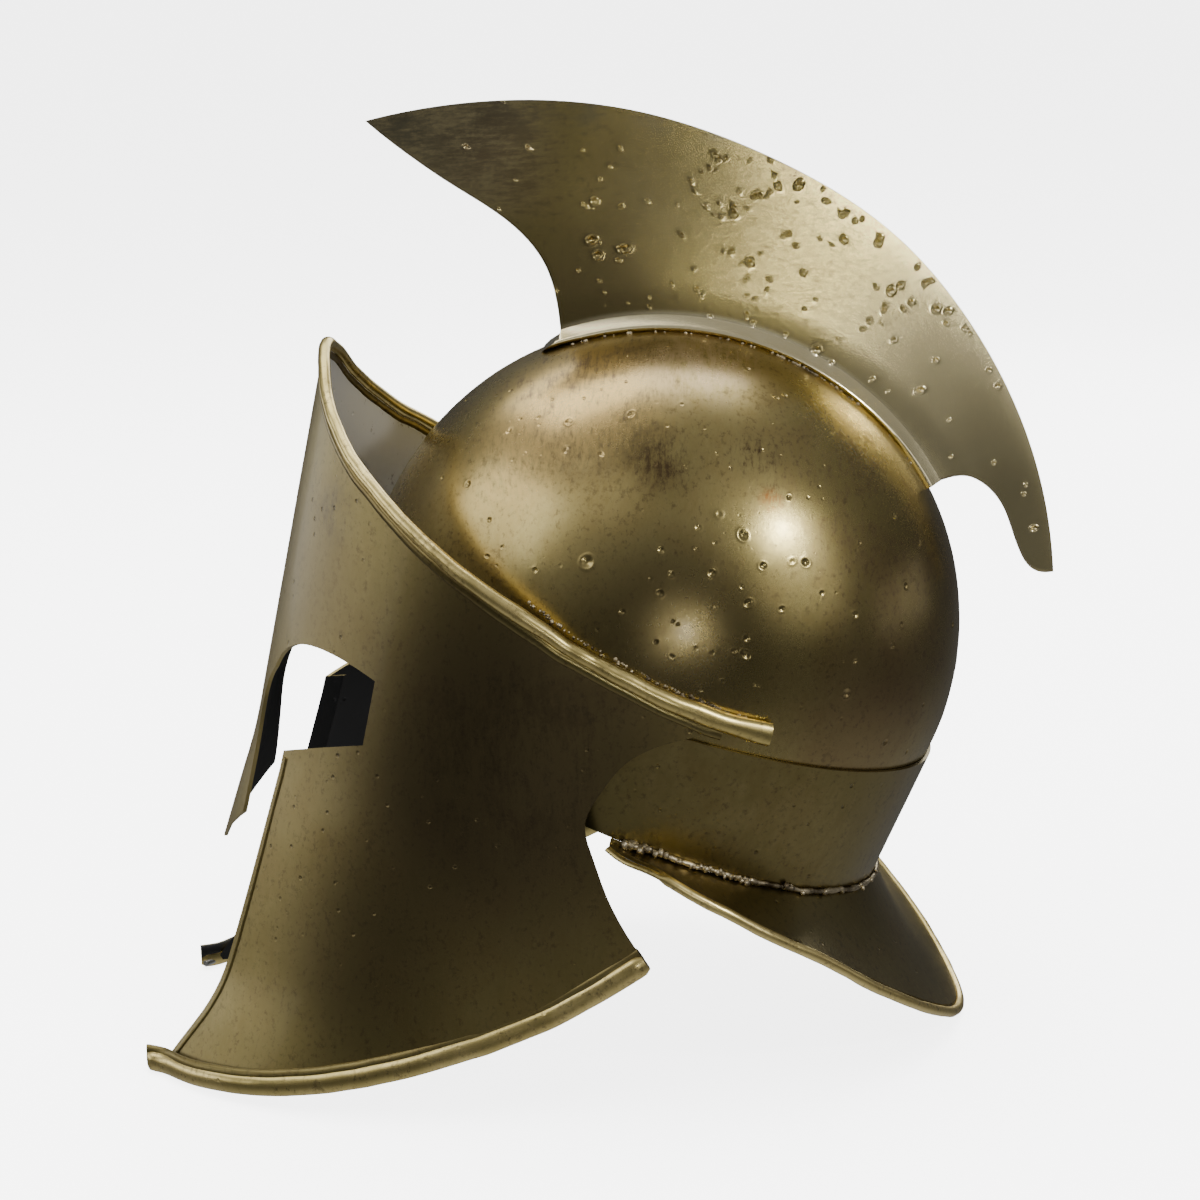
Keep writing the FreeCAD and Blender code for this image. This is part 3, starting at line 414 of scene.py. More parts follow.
def grey_felt(name):
    f = Finish(name)
    fuzz = f.noise(900.0, 5.0, 0.8)
    colour = f.blend(rgb((0.05, 0.048, 0.045)), rgb((0.13, 0.125, 0.12)), fuzz)
    return f.close({"Base Color": colour, "Roughness": 0.95, "Normal": f.bump(fuzz, 0.6, 0.0005)})


# Stains and painted light and shade of the brass: place, near and far edge in millimetres, colour, weight
BROWN, UMBER, RUST = (0.065, 0.036, 0.020), (0.19, 0.125, 0.070), (0.30, 0.085, 0.012)
GOLD, PLUM, OLIVE = (0.66, 0.46, 0.18), (0.215, 0.148, 0.090), (0.290, 0.260, 0.165)
# These three colours are painted shade on the face plate: a blotchy and a smooth darkening of its rear
# sides, and a dulled highlight at its nose
BLOTCHY_PAINTED_SHADE, PAINTED_SHADE_BROWN, NOSE_PAINTED_SHADE = (0.040, 0.028, 0.018), (0.090, 0.068, 0.040), (0.17, 0.135, 0.065)
BOWL_STAINS = (
    ((50, 2, 292), 16, 56, PLUM, 0.85), ((55, 5, 288), 14, 52, GOLD, 0.85),
    ((66, -26, 268), 10, 40, GOLD, 0.6), ((62, 120, 250), 14, 62, UMBER, 0.45),
    ((48, 138, 185), 20, 66, UMBER, 0.35), ((34, 52, 296), 10, 40, (0.56, 0.42, 0.24), 0.8),
    ((100, 30, 150), 10, 44, PLUM, 0.5), ((76, 38, 262), 3, 20, BROWN, 0.85),
    ((70, 74, 262), 3, 15, BROWN, 0.85), ((80, 82, 252), 2, 10, BROWN, 0.9),
    ((80.5, 80, 247.5), 2.0, 7.0, RUST, 1.0), ((-60, 10, 284), 12, 44, GOLD, 0.6),
    ((-66, 96, 256), 8, 34, BROWN, 0.7), ((-84, 20, 236), 4, 22, UMBER, 0.8),
)
# Painted shade on the bowl: smooth darker patches at its rear and low down, in front by the brow, on its far
# side, and one that dulls a reflection of the lamps near the camera
BOWL_PAINTED_SHADE = (
    ((44, 148, 190), 18, 72, (0.20, 0.135, 0.08), 0.3),
    ((70, 110, 150), 10, 60, (0.19, 0.125, 0.085), 0.45),
    ((103, 43, 199), 16, 54, (0.135, 0.105, 0.046), 0.85),
    ((40, -66, 235), 10, 44, (0.14, 0.105, 0.04), 0.6),
    ((-80, 60, 210), 10, 60, (0.16, 0.11, 0.07), 0.5),
)
# Painted shade on the face plate: smooth darkening of its rear sides and low front, and a dulled highlight
# at its nose
PLATE_PAINTED_SHADE = (
    ((104, -30, 150), 30, 110, PAINTED_SHADE_BROWN, 0.75), ((-104, -30, 150), 30, 110, PAINTED_SHADE_BROWN, 0.7),
    ((100, -100, 70), 10, 60, (0.10, 0.075, 0.042), 0.5),
    ((45, -112, 215), 15, 60, NOSE_PAINTED_SHADE, 0.6), ((-45, -112, 215), 15, 60, NOSE_PAINTED_SHADE, 0.6),
)
CREST_STAINS = (
    ((0, -84, 390), 14, 46, OLIVE, 1.0), ((0, -52, 402), 8, 38, OLIVE, 0.95),
    ((0, -20, 406), 6, 30, OLIVE, 0.95), ((0, 10, 404), 5, 25, OLIVE, 0.9),
    ((0, 38, 394), 3, 18, OLIVE, 0.7), ((0, 62, 384), 2, 13, OLIVE, 0.5),
    ((0, -30, 372), 8, 40, UMBER, 0.6), ((0, 92, 366), 2, 10, PLUM, 0.4),
)
# Painted light and painted shade on the crest: lighter at its tail, its tip and its flange, darker at its
# middle and low in the middle by its foot
CREST_PAINTED_LIGHT_AND_SHADE = (
    ((0, 182, 245), 34, 115, (0.92, 0.80, 0.46), 0.9), ((0, 10, 316), 6, 50, (0.24, 0.19, 0.085), 0.75),
    ((0, -62, 390), 22, 70, (0.95, 0.80, 0.46), 0.8), ((0, 48, 362), 12, 44, (0.30, 0.25, 0.12), 0.65),
    (tuple(BOWL_MIDDLE), 131.5, 134.0, (0.95, 0.84, 0.52), 0.9),
)
# The first two rows are blotchy painted shade that darkens the plate's rear sides
PLATE_STAINS = (
    ((104, -20, 150), 20, 70, BLOTCHY_PAINTED_SHADE, 0.35), ((-104, -20, 150), 20, 70, BLOTCHY_PAINTED_SHADE, 0.4),
    ((60, -98, 245), 3, 22, (0.10, 0.085, 0.06), 0.5),
)
FINISHES = {}


def finishes():
    """Every finish of the helmet, made once."""
    if not FINISHES:
        plate_side = (PLATE_FRONT_FOOT * MM + PLATE_NOSE_DEPTH * MM, PLATE_FRONT_LEAN, 0.0)
        FINISHES["bowl"] = aged_brass("bronzed bowl", 0.90, 0.10, (0.5, 5, 2.0), (0.7, 0.2, 0), 0.0, 0.5,
                                      BOWL_STAINS, painted_light_and_shade=BOWL_PAINTED_SHADE, mottle=0.7, matt=0.18)
        FINISHES["crest"] = aged_brass("bronzed crest", 1.34, -0.30, (1, 0.8, 4), (0.5, 0, 0), 0.31, 0.0,
                                       CREST_STAINS, painted_light_and_shade=CREST_PAINTED_LIGHT_AND_SHADE, rub=0.2, matt=0.11, mottle=0.15)
        FINISHES["plate"] = aged_brass("bronzed plate", 0.62, 0.25, (2, 2, 0.6), (0, 0, 0), 0.13, 1.0,
                                       PLATE_STAINS, plate_side, "steel", PLATE_PAINTED_SHADE, rub=0.35,
                                       matt=0.32, mottle=0.35)
        FINISHES["band"] = aged_brass("bronzed neck band", 0.60, 0.25, (3, 1, 0.6), (0, 0, 0), 0.47, 1.0,
                                      (), (BAND_MIDDLE * MM, 0.0, 0.0), mottle=0.5)
        FINISHES["guard"] = aged_brass("bronzed neck guard", 0.62, 0.25, (2, 2, 0.6), (0, 0, 0), 0.71, 0.8,
                                       mottle=0.5)
        FINISHES["rim"] = aged_brass("rubbed rim", 1.6, -0.2, (1, 1, 1), (0, 0, 0), 0.6, 0.3, rub=0.9)
        FINISHES["lip"] = aged_brass("dull rim lip", 0.52, 0.1, (1, 1, 1), (0, 0, 0), 0.8, 0.4, rub=0.6)
        FINISHES["weld"] = bare_steel("brassed weld", 0.60)
        FINISHES["wire"] = bare_steel("plain wire", 0.5, 0.0)
        FINISHES["inside"] = black_paint("black inside")
        FINISHES["leather"] = dark_leather("liner leather")
        FINISHES["lace"] = dark_leather("liner lace", 0.7)
        FINISHES["thread"] = waxed_thread("waxed thread")
        FINISHES["felt"] = grey_felt("liner felt")
    return FINISHES


def dress(nodes, finish):
    """Gives CAD nodes a finish through their material slots."""
    for name in nodes:
        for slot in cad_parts[name].material_slots:
            slot.material = finishes()[finish]


# Modelling helpers: everything is modelled in millimetres and scaled once

def make_piece(name, bm, looks, nodes, sharp=40.0):
    """Turns a bmesh into a piece that rides on the helmet and stands for some CAD nodes."""
    for vert in bm.verts:
        vert.co = [clamp(c, a / MM, b / MM) for c, a, b in zip(vert.co, cad_low, cad_high)]
    bmesh.ops.scale(bm, vec=(MM, MM, MM), verts=bm.verts)
    for edge in bm.edges:
        if edge.calc_face_angle(0.0) > math.radians(sharp):
            edge.smooth = False
    for face in bm.faces:
        face.smooth = True
    mesh = bpy.data.meshes.new(name)
    bm.to_mesh(mesh)
    bm.free()
    for look in looks:
        mesh.materials.append(finishes()[look])
    piece = bpy.data.objects.new(name, mesh)
    bpy.context.collection.objects.link(piece)
    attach(piece, "root")
    if nodes:
        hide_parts(*nodes)
    return piece


def skin(node):
    """The CAD node's skin in millimetres, for casting lines on it."""
    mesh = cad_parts[node].data
    return BVHTree.FromPolygons([v.co / MM for v in mesh.vertices], [p.vertices for p in mesh.polygons])


def seen(node, pixels):
    """Marks (place, radius) where lines of sight through pixels meet a node."""
    tree, focal, marks = skin(node), LENS / SENSOR * PICTURE, []
    for across, down, radius in pixels:
        sight = (RIGHT * (across - PICTURE / 2) + UP * (PICTURE / 2 - down)) / focal - BACK
        place = tree.ray_cast(EYE / MM, sight)[0]
        if place:
            marks.append((place, radius))
    return marks


def refine(bm, marks, rounds=3):
    """Cuts the edges near each mark until they are short enough to hold its shape."""
    tree = kdtree.KDTree(len(marks))
    for index, (place, radius) in enumerate(marks):
        tree.insert(place, index)
    tree.balance()
    for _ in range(rounds):
        edges = []
        for edge in bm.edges:
            long = edge.calc_length()
            middle = (edge.verts[0].co + edge.verts[1].co) / 2
            for _, index, gap in tree.find_range(middle, 4.5 + long / 2):
                radius = marks[index][1]
                if long > radius * 0.34 and gap < radius * 1.7 + long / 2:
                    edges.append(edge)
                    break
        bmesh.ops.subdivide_edges(bm, edges=edges, cuts=1, use_grid_fill=True)
    return tree


def press(bm, marks, tree, depth, border=PIT_BORDER):
    """Presses each mark into the skin: a slightly oval hollow with a raised border."""
    bm.normal_update()
    moves, rng = [], random.Random(len(marks))
    longs = [Vector([rng.uniform(-1, 1) for _ in range(3)]) for _ in marks]
    for vert in bm.verts:
        move = 0.0
        for place, index, gap in tree.find_range(vert.co, 5.5):
            radius = marks[index][1]
            share = math.hypot(gap, (vert.co - place).dot(longs[index]) * 0.9) / radius / 1.12
            if share < 1.0:
                move -= depth * radius * (1 - share * share) ** 2
            move += depth * radius * border * math.exp(-((share - 1.12) / 0.24) ** 2)
        if move:
            moves.append((vert, vert.normal * move))
    for vert, move in moves:
        vert.co += move


def on_bowl(place):
    """The place on the bowl's outer face straight out from its middle, and the normal there."""
    offset = place - BOWL_MIDDLE
    share = Vector([o / h for o, h in zip(offset, BOWL_HALF)]).length
    place = BOWL_MIDDLE + offset / share
    normal = Vector([(p - m) / h ** 2 for p, m, h in zip(place, BOWL_MIDDLE, BOWL_HALF)]).normalized()
    return place, normal


def centre_line(node, start, heading, step=2.5, reach=4.5):
    """The middle of a CAD tube, found by walking along its skin from one end."""
    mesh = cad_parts[node].data
    tree = kdtree.KDTree(len(mesh.vertices))
    for index, vertex in enumerate(mesh.vertices):
        tree.insert(vertex.co / MM, index)
    tree.balance()
    places, heading = [Vector(start)], Vector(heading).normalized()
    while len(places) < 400:
        near = tree.find_range(places[-1] + heading * step, reach)
        if len(near) < 12:
            break
        middle = sum((co for co, _, _ in near), Vector()) / len(near)
        run = middle - places[-1]
        if run.length < step * 0.6:
            break
        heading = (heading + run.normalized() * 2).normalized()
        places.append(middle)
    for last, before in ((-1, -3), (0, 2)):
        heading = (places[last] - places[before]).normalized()
        near = tree.find_range(places[last], reach * 1.6)
        end = max((co - places[last]).dot(heading) for co, _, _ in near)
        places[last] = places[last] + heading * max(0.0, end)
    for _ in range(2):
        places[1:-1] = [(a + b * 2 + c) / 4 for a, b, c in zip(places, places[1:], places[2:])]
    return places


def spaced(places, count):
    """The same line as evenly spaced points."""
    runs = [(b - a).length for a, b in zip(places, places[1:])]
    step, line, done, i = sum(runs) / count, [], 0.0, 0
    for number in range(count):
        while done + runs[i] < number * step:
            done += runs[i]
            i += 1
        line.append(places[i].lerp(places[i + 1], (number * step - done) / runs[i]))
    return line + [places[-1].copy()]


def between_rows(table, share):
    """The second value at a first value, on straight runs between the rows of a table."""
    for (s0, t0), (s1, t1) in zip(table, table[1:]):
        if share <= s1:
            return mix(t0, t1, (share - s0) / (s1 - s0))
    return table[-1][1]


def line_length(line):
    """The length of a line of points."""
    return sum((b - a).length for a, b in zip(line, line[1:]))


def frames(places, outward):
    """Place, direction along, direction outward and direction across for each point of a line."""
    rows = []
    for i, place in enumerate(places):
        along = (places[min(i + 1, len(places) - 1)] - places[max(i - 1, 0)]).normalized()
        out = outward(place)
        out = (out - along * out.dot(along)).normalized()
        rows.append((place, along, out, along.cross(out).normalized()))
    return rows


def extruded(bm, edges):
    """Extrudes edges and gives the new points and the new edges between them."""
    made = bmesh.ops.extrude_edge_only(bm, edges=edges)["geom"]
    points = [item for item in made if isinstance(item, bmesh.types.BMVert)]
    fresh = set(points)
    return points, [item for item in made if isinstance(item, bmesh.types.BMEdge)
                    and item.verts[0] in fresh and item.verts[1] in fresh]


def sweep(bm, stations, segments):
    """A closed bar through stations of place, along, out, across, half-width and half-thickness."""
    ring = bmesh.ops.create_circle(bm, cap_ends=False, radius=1.0, segments=segments)["verts"]
    edges = list(dict.fromkeys(edge for vert in ring for edge in vert.link_edges))
    ends, before = [edges], None
    for place, along, out, across, wide, thick in stations:
        turn = Matrix((across * wide, out * thick, along)).transposed().to_4x4()
        turn.translation = place
        if before is not None:
            ring, edges = extruded(bm, edges)
            bmesh.ops.transform(bm, matrix=turn @ before.inverted(), verts=ring)
        else:
            bmesh.ops.transform(bm, matrix=turn, verts=ring)
        before = turn
    ends.append(edges)
    for end in ends:
        bmesh.ops.contextual_create(bm, geom=end)


def close_up(bm):
    """Joins doubled points and turns every face outwards."""
    bmesh.ops.remove_doubles(bm, verts=bm.verts, dist=0.0005)
    bmesh.ops.recalc_face_normals(bm, faces=bm.faces)


def both_sides(bm):
    """Adds the mirror image across the helmet's middle plane."""
    half = bmesh.ops.duplicate(bm, geom=bm.verts[:] + bm.edges[:] + bm.faces[:])["geom"]
    verts = [item for item in half if isinstance(item, bmesh.types.BMVert)]
    bmesh.ops.scale(bm, vec=(-1, 1, 1), verts=verts)
    bmesh.ops.reverse_faces(bm, faces=[item for item in half if isinstance(item, bmesh.types.BMFace)])


def bar_piece(name, stations, segments, look, nodes, mirrored=False, sharp=50):
    """A piece swept through its stations, on one side or on both."""
    bm = bmesh.new()
    sweep(bm, stations, segments)
    if mirrored:
        both_sides(bm)
    close_up(bm)
    return make_piece(name, bm, [look], nodes, sharp)


def bead(bm, place, size, rng):
    """A small lump of weld metal, uneven and a little stretched."""
    lump = bmesh.ops.create_icosphere(bm, subdivisions=2, radius=1.0)["verts"]
    stretch = Vector([size * rng.uniform(0.75, 1.3) for _ in range(3)])
    seed = Vector([rng.uniform(0, 60) for _ in range(3)])
    for vert in lump:
        vert.co *= 1 + 0.35 * noise.noise(vert.co * 1.6 + seed)
    bmesh.ops.scale(bm, vec=stretch, verts=lump)
    bmesh.ops.translate(bm, vec=place, verts=lump)


def wobble(place, scale, amount, seed=0.0):
    """Smooth unevenness of a given scale and amount in millimetres."""
    return noise.noise(place / scale + Vector((seed, seed, seed))) * amount


# Groups of settings that a user may change

class HelmetFinish(bpy.types.PropertyGroup):
    brass: bpy.props.FloatVectorProperty(
        name="Brass", description="Main colour of the antique brass", subtype="COLOR", size=3,
        default=(0.39, 0.315, 0.118))
    patina: bpy.props.FloatVectorProperty(
        name="Patina", description="Colour of the dark stains", subtype="COLOR", size=3,
        default=(0.075, 0.050, 0.028))
    rubbed: bpy.props.FloatVectorProperty(
        name="Rubbed brass", description="Colour of the rubbed light patches", subtype="COLOR", size=3,
        default=(0.58, 0.47, 0.20))


class HelmetWear(bpy.types.PropertyGroup):
    pit_depth: bpy.props.FloatProperty(
        name="Pit depth", description="Depth of a pit as a share of its radius", subtype="FACTOR",
        default=0.56, min=0.0, max=1.0)
    bowl_waves: bpy.props.FloatProperty(
        name="Bowl waves", description="Height of the hand-worked unevenness of the bowl", unit="LENGTH",
        default=0.00022)
    rim_waves: bpy.props.FloatProperty(
        name="Rim waves", description="How far the rolled rims wander from a true line", unit="LENGTH",
        default=0.0006)
    weld_size: bpy.props.FloatProperty(
        name="Weld size", description="Radius of a usual drop of weld metal", unit="LENGTH", default=0.0011)


class StudioSettings(bpy.types.PropertyGroup):
    lens: bpy.props.FloatProperty(
        name="Lens", description="Focal length of the camera in millimetres", default=LENS)
    floor_tone: bpy.props.FloatProperty(
        name="Floor tone", description="Brightness of the pale floor", default=0.85, min=0.0, max=1.0)
    floor_light: bpy.props.FloatProperty(
        name="Floor light", description="Power of the light over the floor in watts", default=150.0)


def loose_marks(rng, count, node, low, high, aim):
    """Random marks on a node: lines are cast at it from all round."""
    tree, marks = skin(node), []
    while len(marks) < count:
        heading = Vector([rng.gauss(0, 1) for _ in range(3)]).normalized()
        target = Vector([mix(a, b, rng.random()) for a, b in zip(*aim)])
        place = tree.ray_cast(target + heading * 500, -heading)[0]
        if place:
            marks.append((place, mix(low, high, rng.random() ** 2)))
    return marks


class HELMET_OT_bowl(bpy.types.Operator):
    """Presses the round bowl, with its dents and its hand-worked unevenness"""
    bl_idname = "helmet.bowl"
    bl_label = "Bowl"

    def execute(self, context):
        wear, rng = context.scene.helmet_wear, random.Random(BOWL_SEED)
        marks = seen("skull_bowl", BOWL_DENTS)
        around = (BOWL_MIDDLE - BOWL_HALF * 0.7, BOWL_MIDDLE + BOWL_HALF * 0.7)
        marks += loose_marks(rng, 150, "skull_bowl", 0.6, 1.9, around)
        bm = bmesh.new()
        bmesh.ops.create_uvsphere(bm, u_segments=BOWL_GRID[0], v_segments=BOWL_GRID[1], radius=1.0)
        bmesh.ops.scale(bm, vec=BOWL_HALF, verts=bm.verts)
        bmesh.ops.translate(bm, vec=BOWL_MIDDLE, verts=bm.verts)
        edge_normal = Vector((0, math.sin(BOWL_EDGE_TILT), math.cos(BOWL_EDGE_TILT)))
        edge_place = BOWL_MIDDLE - Vector((0, 0, BOWL_EDGE_DROP))
        bmesh.ops.bisect_plane(bm, geom=bm.verts[:] + bm.edges[:] + bm.faces[:], dist=0.001,
                               plane_co=edge_place, plane_no=edge_normal, clear_inner=True)
        tree = refine(bm, marks)
        waves = wear.bowl_waves / MM
        for vert in bm.verts:
            low_edge = abs((vert.co - edge_place).dot(edge_normal)) < 0.01
            place, normal = on_bowl(vert.co)
            wave = (wobble(place, 34, waves) + wobble(place, 13, waves * 0.25, 5)) * (0 if low_edge else 1)
            vert.co = place + normal * (wave - waves * 0.6)
        press(bm, marks, tree, wear.pit_depth * BOWL_DENT_DEPTH, BOWL_DENT_BORDER)
        piece = make_piece("bowl_sheet", bm, ["bowl", "inside"], ["skull_bowl"])
        wall = piece.modifiers.new("wall", "SOLIDIFY")
        wall.thickness, wall.offset = BOWL_WALL * MM, -1.0
        wall.material_offset = 1
        return {"FINISHED"}


def polar(y, z):
    """Angle and distance from the bowl's middle, in the helmet's middle plane."""
    over, up = y - BOWL_MIDDLE.y, z - BOWL_MIDDLE.z
    return math.atan2(up, over), math.hypot(over, up)


def at_polar(angle, radius, x=0.0):
    """The place at an angle and a distance from the bowl's middle."""
    return Vector((x, BOWL_MIDDLE.y + radius * math.cos(angle), BOWL_MIDDLE.z + radius * math.sin(angle)))


def bowl_radius(angle):
    """The bowl's outer radius in the middle plane."""
    return 1 / math.hypot(math.cos(angle) / BOWL_HALF.y, math.sin(angle) / BOWL_HALF.z)


def over_bowl(place):
    """How far a place of the crest lies over the bowl."""
    angle, radius = polar(place.y, place.z)
    return radius - bowl_radius(angle)


def crest_borders():
    """The crest's foot, ridge, front and rear borders, measured on the CAD crest by casting lines."""
    tree, inset = skin("crest_left"), CREST_EDGE / 2
    low, high = polar(*CREST_TIP)[0], polar(*CREST_TAIL)[0]
    casts = {"ridge": [], "front": [], "rear": []}
    for i in range(1, BORDER_CASTS):
        share = i / BORDER_CASTS
        angle = mix(low, high, share)
        casts["ridge"].append((at_polar(angle, 400, inset), at_polar(angle, 0) - at_polar(angle, 1)))
        level = mix(BOWL_MIDDLE.z + BOWL_HALF.z, CREST_TIP.y, share)
        casts["front"].append((Vector((inset, -200, level)), Vector((0, 1, 0))))
        back = mix(BOWL_MIDDLE.y + CREST_FOOT_REAR, CREST_TAIL.x, share)
        casts["rear"].append((Vector((inset, back, 100)), Vector((0, 0, 1))))
    lines = {}
    for key, rays in casts.items():
        hits = [tree.ray_cast(start, heading)[0] for start, heading in rays]
        lines[key] = [Vector((hit.y, hit.z)) for hit in hits if hit]
    lines["ridge"] = [CREST_TIP] + lines["ridge"] + [CREST_TAIL]
    for key, tip in (("front", CREST_TIP), ("rear", CREST_TAIL)):
        kept = [p for p in lines[key] if polar(*p)[1] > bowl_radius(polar(*p)[0]) + FLANGE_RISE]
        angle = polar(*kept[0])[0]
        lines[key] = [at_polar(angle, bowl_radius(angle) + FLANGE_RISE).yz] + kept + [tip]
    start, end = polar(*lines["front"][0])[0], polar(*lines["rear"][0])[0]
    foot = [at_polar(angle, bowl_radius(angle) + FLANGE_RISE)
            for angle in (mix(start, end, i / FOOT_RUNS) for i in range(FOOT_RUNS + 1))]
    lines["foot"] = [lines["front"][0]] + [p.yz for p in foot[1:-1]] + [lines["rear"][0]]
    return lines


def on_line(line, share):
    """The place at a share of a line of evenly spaced points."""
    spot = share * (len(line) - 1)
    i = min(int(spot), len(line) - 2)
    return line[i].lerp(line[i + 1], spot - i)


class HELMET_OT_crest(bpy.types.Operator):
    """Presses the crest: two webs that meet at the ridge and flare into flanges on the bowl"""
    bl_idname = "helmet.crest"
    bl_label = "Crest"

    def half(self, marks, borders, depth):
        """One side: a web stretched between the borders, its flange, its pits and its edge."""
        rows = {key: spaced(line, CREST_RUNS) for key, line in borders.items()}
        ridge_turns = [polar(*p) for p in borders["ridge"]][::-1]
        bm = bmesh.new()
        bmesh.ops.create_grid(bm, x_segments=CREST_GRID[0], y_segments=CREST_GRID[1], size=1.0)
        for vert in bm.verts:
            s, t = (vert.co.x + 1) / 2, (vert.co.y + 1) / 2
            corners = (rows["foot"][0] * (1 - s) + rows["foot"][-1] * s) * (1 - t) \
                + (rows["ridge"][0] * (1 - s) + rows["ridge"][-1] * s) * t
            spot = on_line(rows["foot"], s) * (1 - t) + on_line(rows["ridge"], s) * t \
                + on_line(rows["front"], t) * (1 - s) + on_line(rows["rear"], t) * s - corners
            angle, radius = polar(*spot)
            crease = bowl_radius(angle) + FLANGE_RISE
            top = between_rows(ridge_turns, angle)
            deep = clamp((top - radius) / max(1.0, top - crease))
            flare = 0.5 * clamp(1 - (radius - crease) / 12) ** 2
            vert.co = Vector((CREST_EDGE + CREST_SWELL * deep ** SWELL_POWER + flare, spot.x, spot.y))
        bm.normal_update()
        if sum(face.normal.x for face in bm.faces) < 0:
            bmesh.ops.reverse_faces(bm, faces=bm.faces)
        foot = [edge for edge in bm.edges if edge.is_boundary
                and all(abs(over_bowl(vert.co) - FLANGE_RISE) < 0.15 for vert in edge.verts)]
        ends = [polar(v.co.y, v.co.z)[0] for edge in foot for v in edge.verts]
        first, last = max(ends), min(ends)
        creases = [edge.verts[:] for edge in foot]
        for out, rise in FLANGE_PROFILE:
            fresh, foot = extruded(bm, foot)
            for vert in fresh:
                angle = polar(vert.co.y, vert.co.z)[0]
                share = (angle - first) / (last - first)
                x = mix(7.4, out, mix(1.0, 0.55, ease(0.72, 1.0, share)))
                toe = 0.45 * (FLANGE_RISE - rise) * (1 - ease(0.0, 0.07, share))
                vert.co = at_polar(angle, bowl_radius(angle) + rise, x) - Vector((0, toe, 0))
        for pair in creases:
            bm.edges.get(pair).smooth = False
        bm.normal_update()
        tree = refine(bm, marks)
        press(bm, marks, tree, depth)
        border = [edge for edge in bm.edges if edge.is_boundary]
        for vert in extruded(bm, border)[0]:
            vert.co.x = 0.0
        rounded = [edge for edge in border if max(v.co.x for v in edge.verts) < 9 and edge.is_valid]
        bmesh.ops.bevel(bm, geom=rounded, offset=0.3, offset_type="OFFSET", segments=2, profile=0.5,
                        affect="EDGES", material=-1, clamp_overlap=True)
        return bm

    def execute(self, context):
        depth, rng = context.scene.helmet_wear.pit_depth, random.Random(CREST_SEED)
        near = [(place, radius * CREST_PIT_SIZE) for place, radius in seen("crest_left", CREST_PITS)]
        aim = (Vector((0, -60, 300)), Vector((0, 190, 400)))
        near += [mark for mark in loose_marks(rng, 60, "crest_left", 0.5, 1.2, aim) if mark[0].x > 0.5]
        far = [(Vector((-place.x, place.y, place.z)), radius)
               for place, radius in loose_marks(rng, 130, "crest_right", 0.6, 2.0, aim) if place.x < -0.5]
        borders, whole = crest_borders(), bmesh.new()
        for marks, side in ((near, 1), (far, -1)):
            bm = self.half(marks, borders, depth)
            if side < 0:
                bmesh.ops.scale(bm, vec=(-1, 1, 1), verts=bm.verts)
                bmesh.ops.reverse_faces(bm, faces=bm.faces)
            half = bpy.data.meshes.new("crest half")
            bm.to_mesh(half)
            bm.free()
            whole.from_mesh(half)
            bpy.data.meshes.remove(half)
        close_up(whole)
        make_piece("crest_sheet", whole, ["crest"], ["crest_left", "crest_right"], 50)
        return {"FINISHED"}


def from_axis(place):
    """The level way out from the neck band's axis."""
    return Vector((place.x, place.y - BAND_MIDDLE, 0)).normalized()


def brow_centre():
    """The middle of the left brow rim, from the middle plane to its rear end."""
    return centre_line("brow_rim_left", (0, -103.7, 302), (1, 0.02, -0.15), 2.0, 4.2)


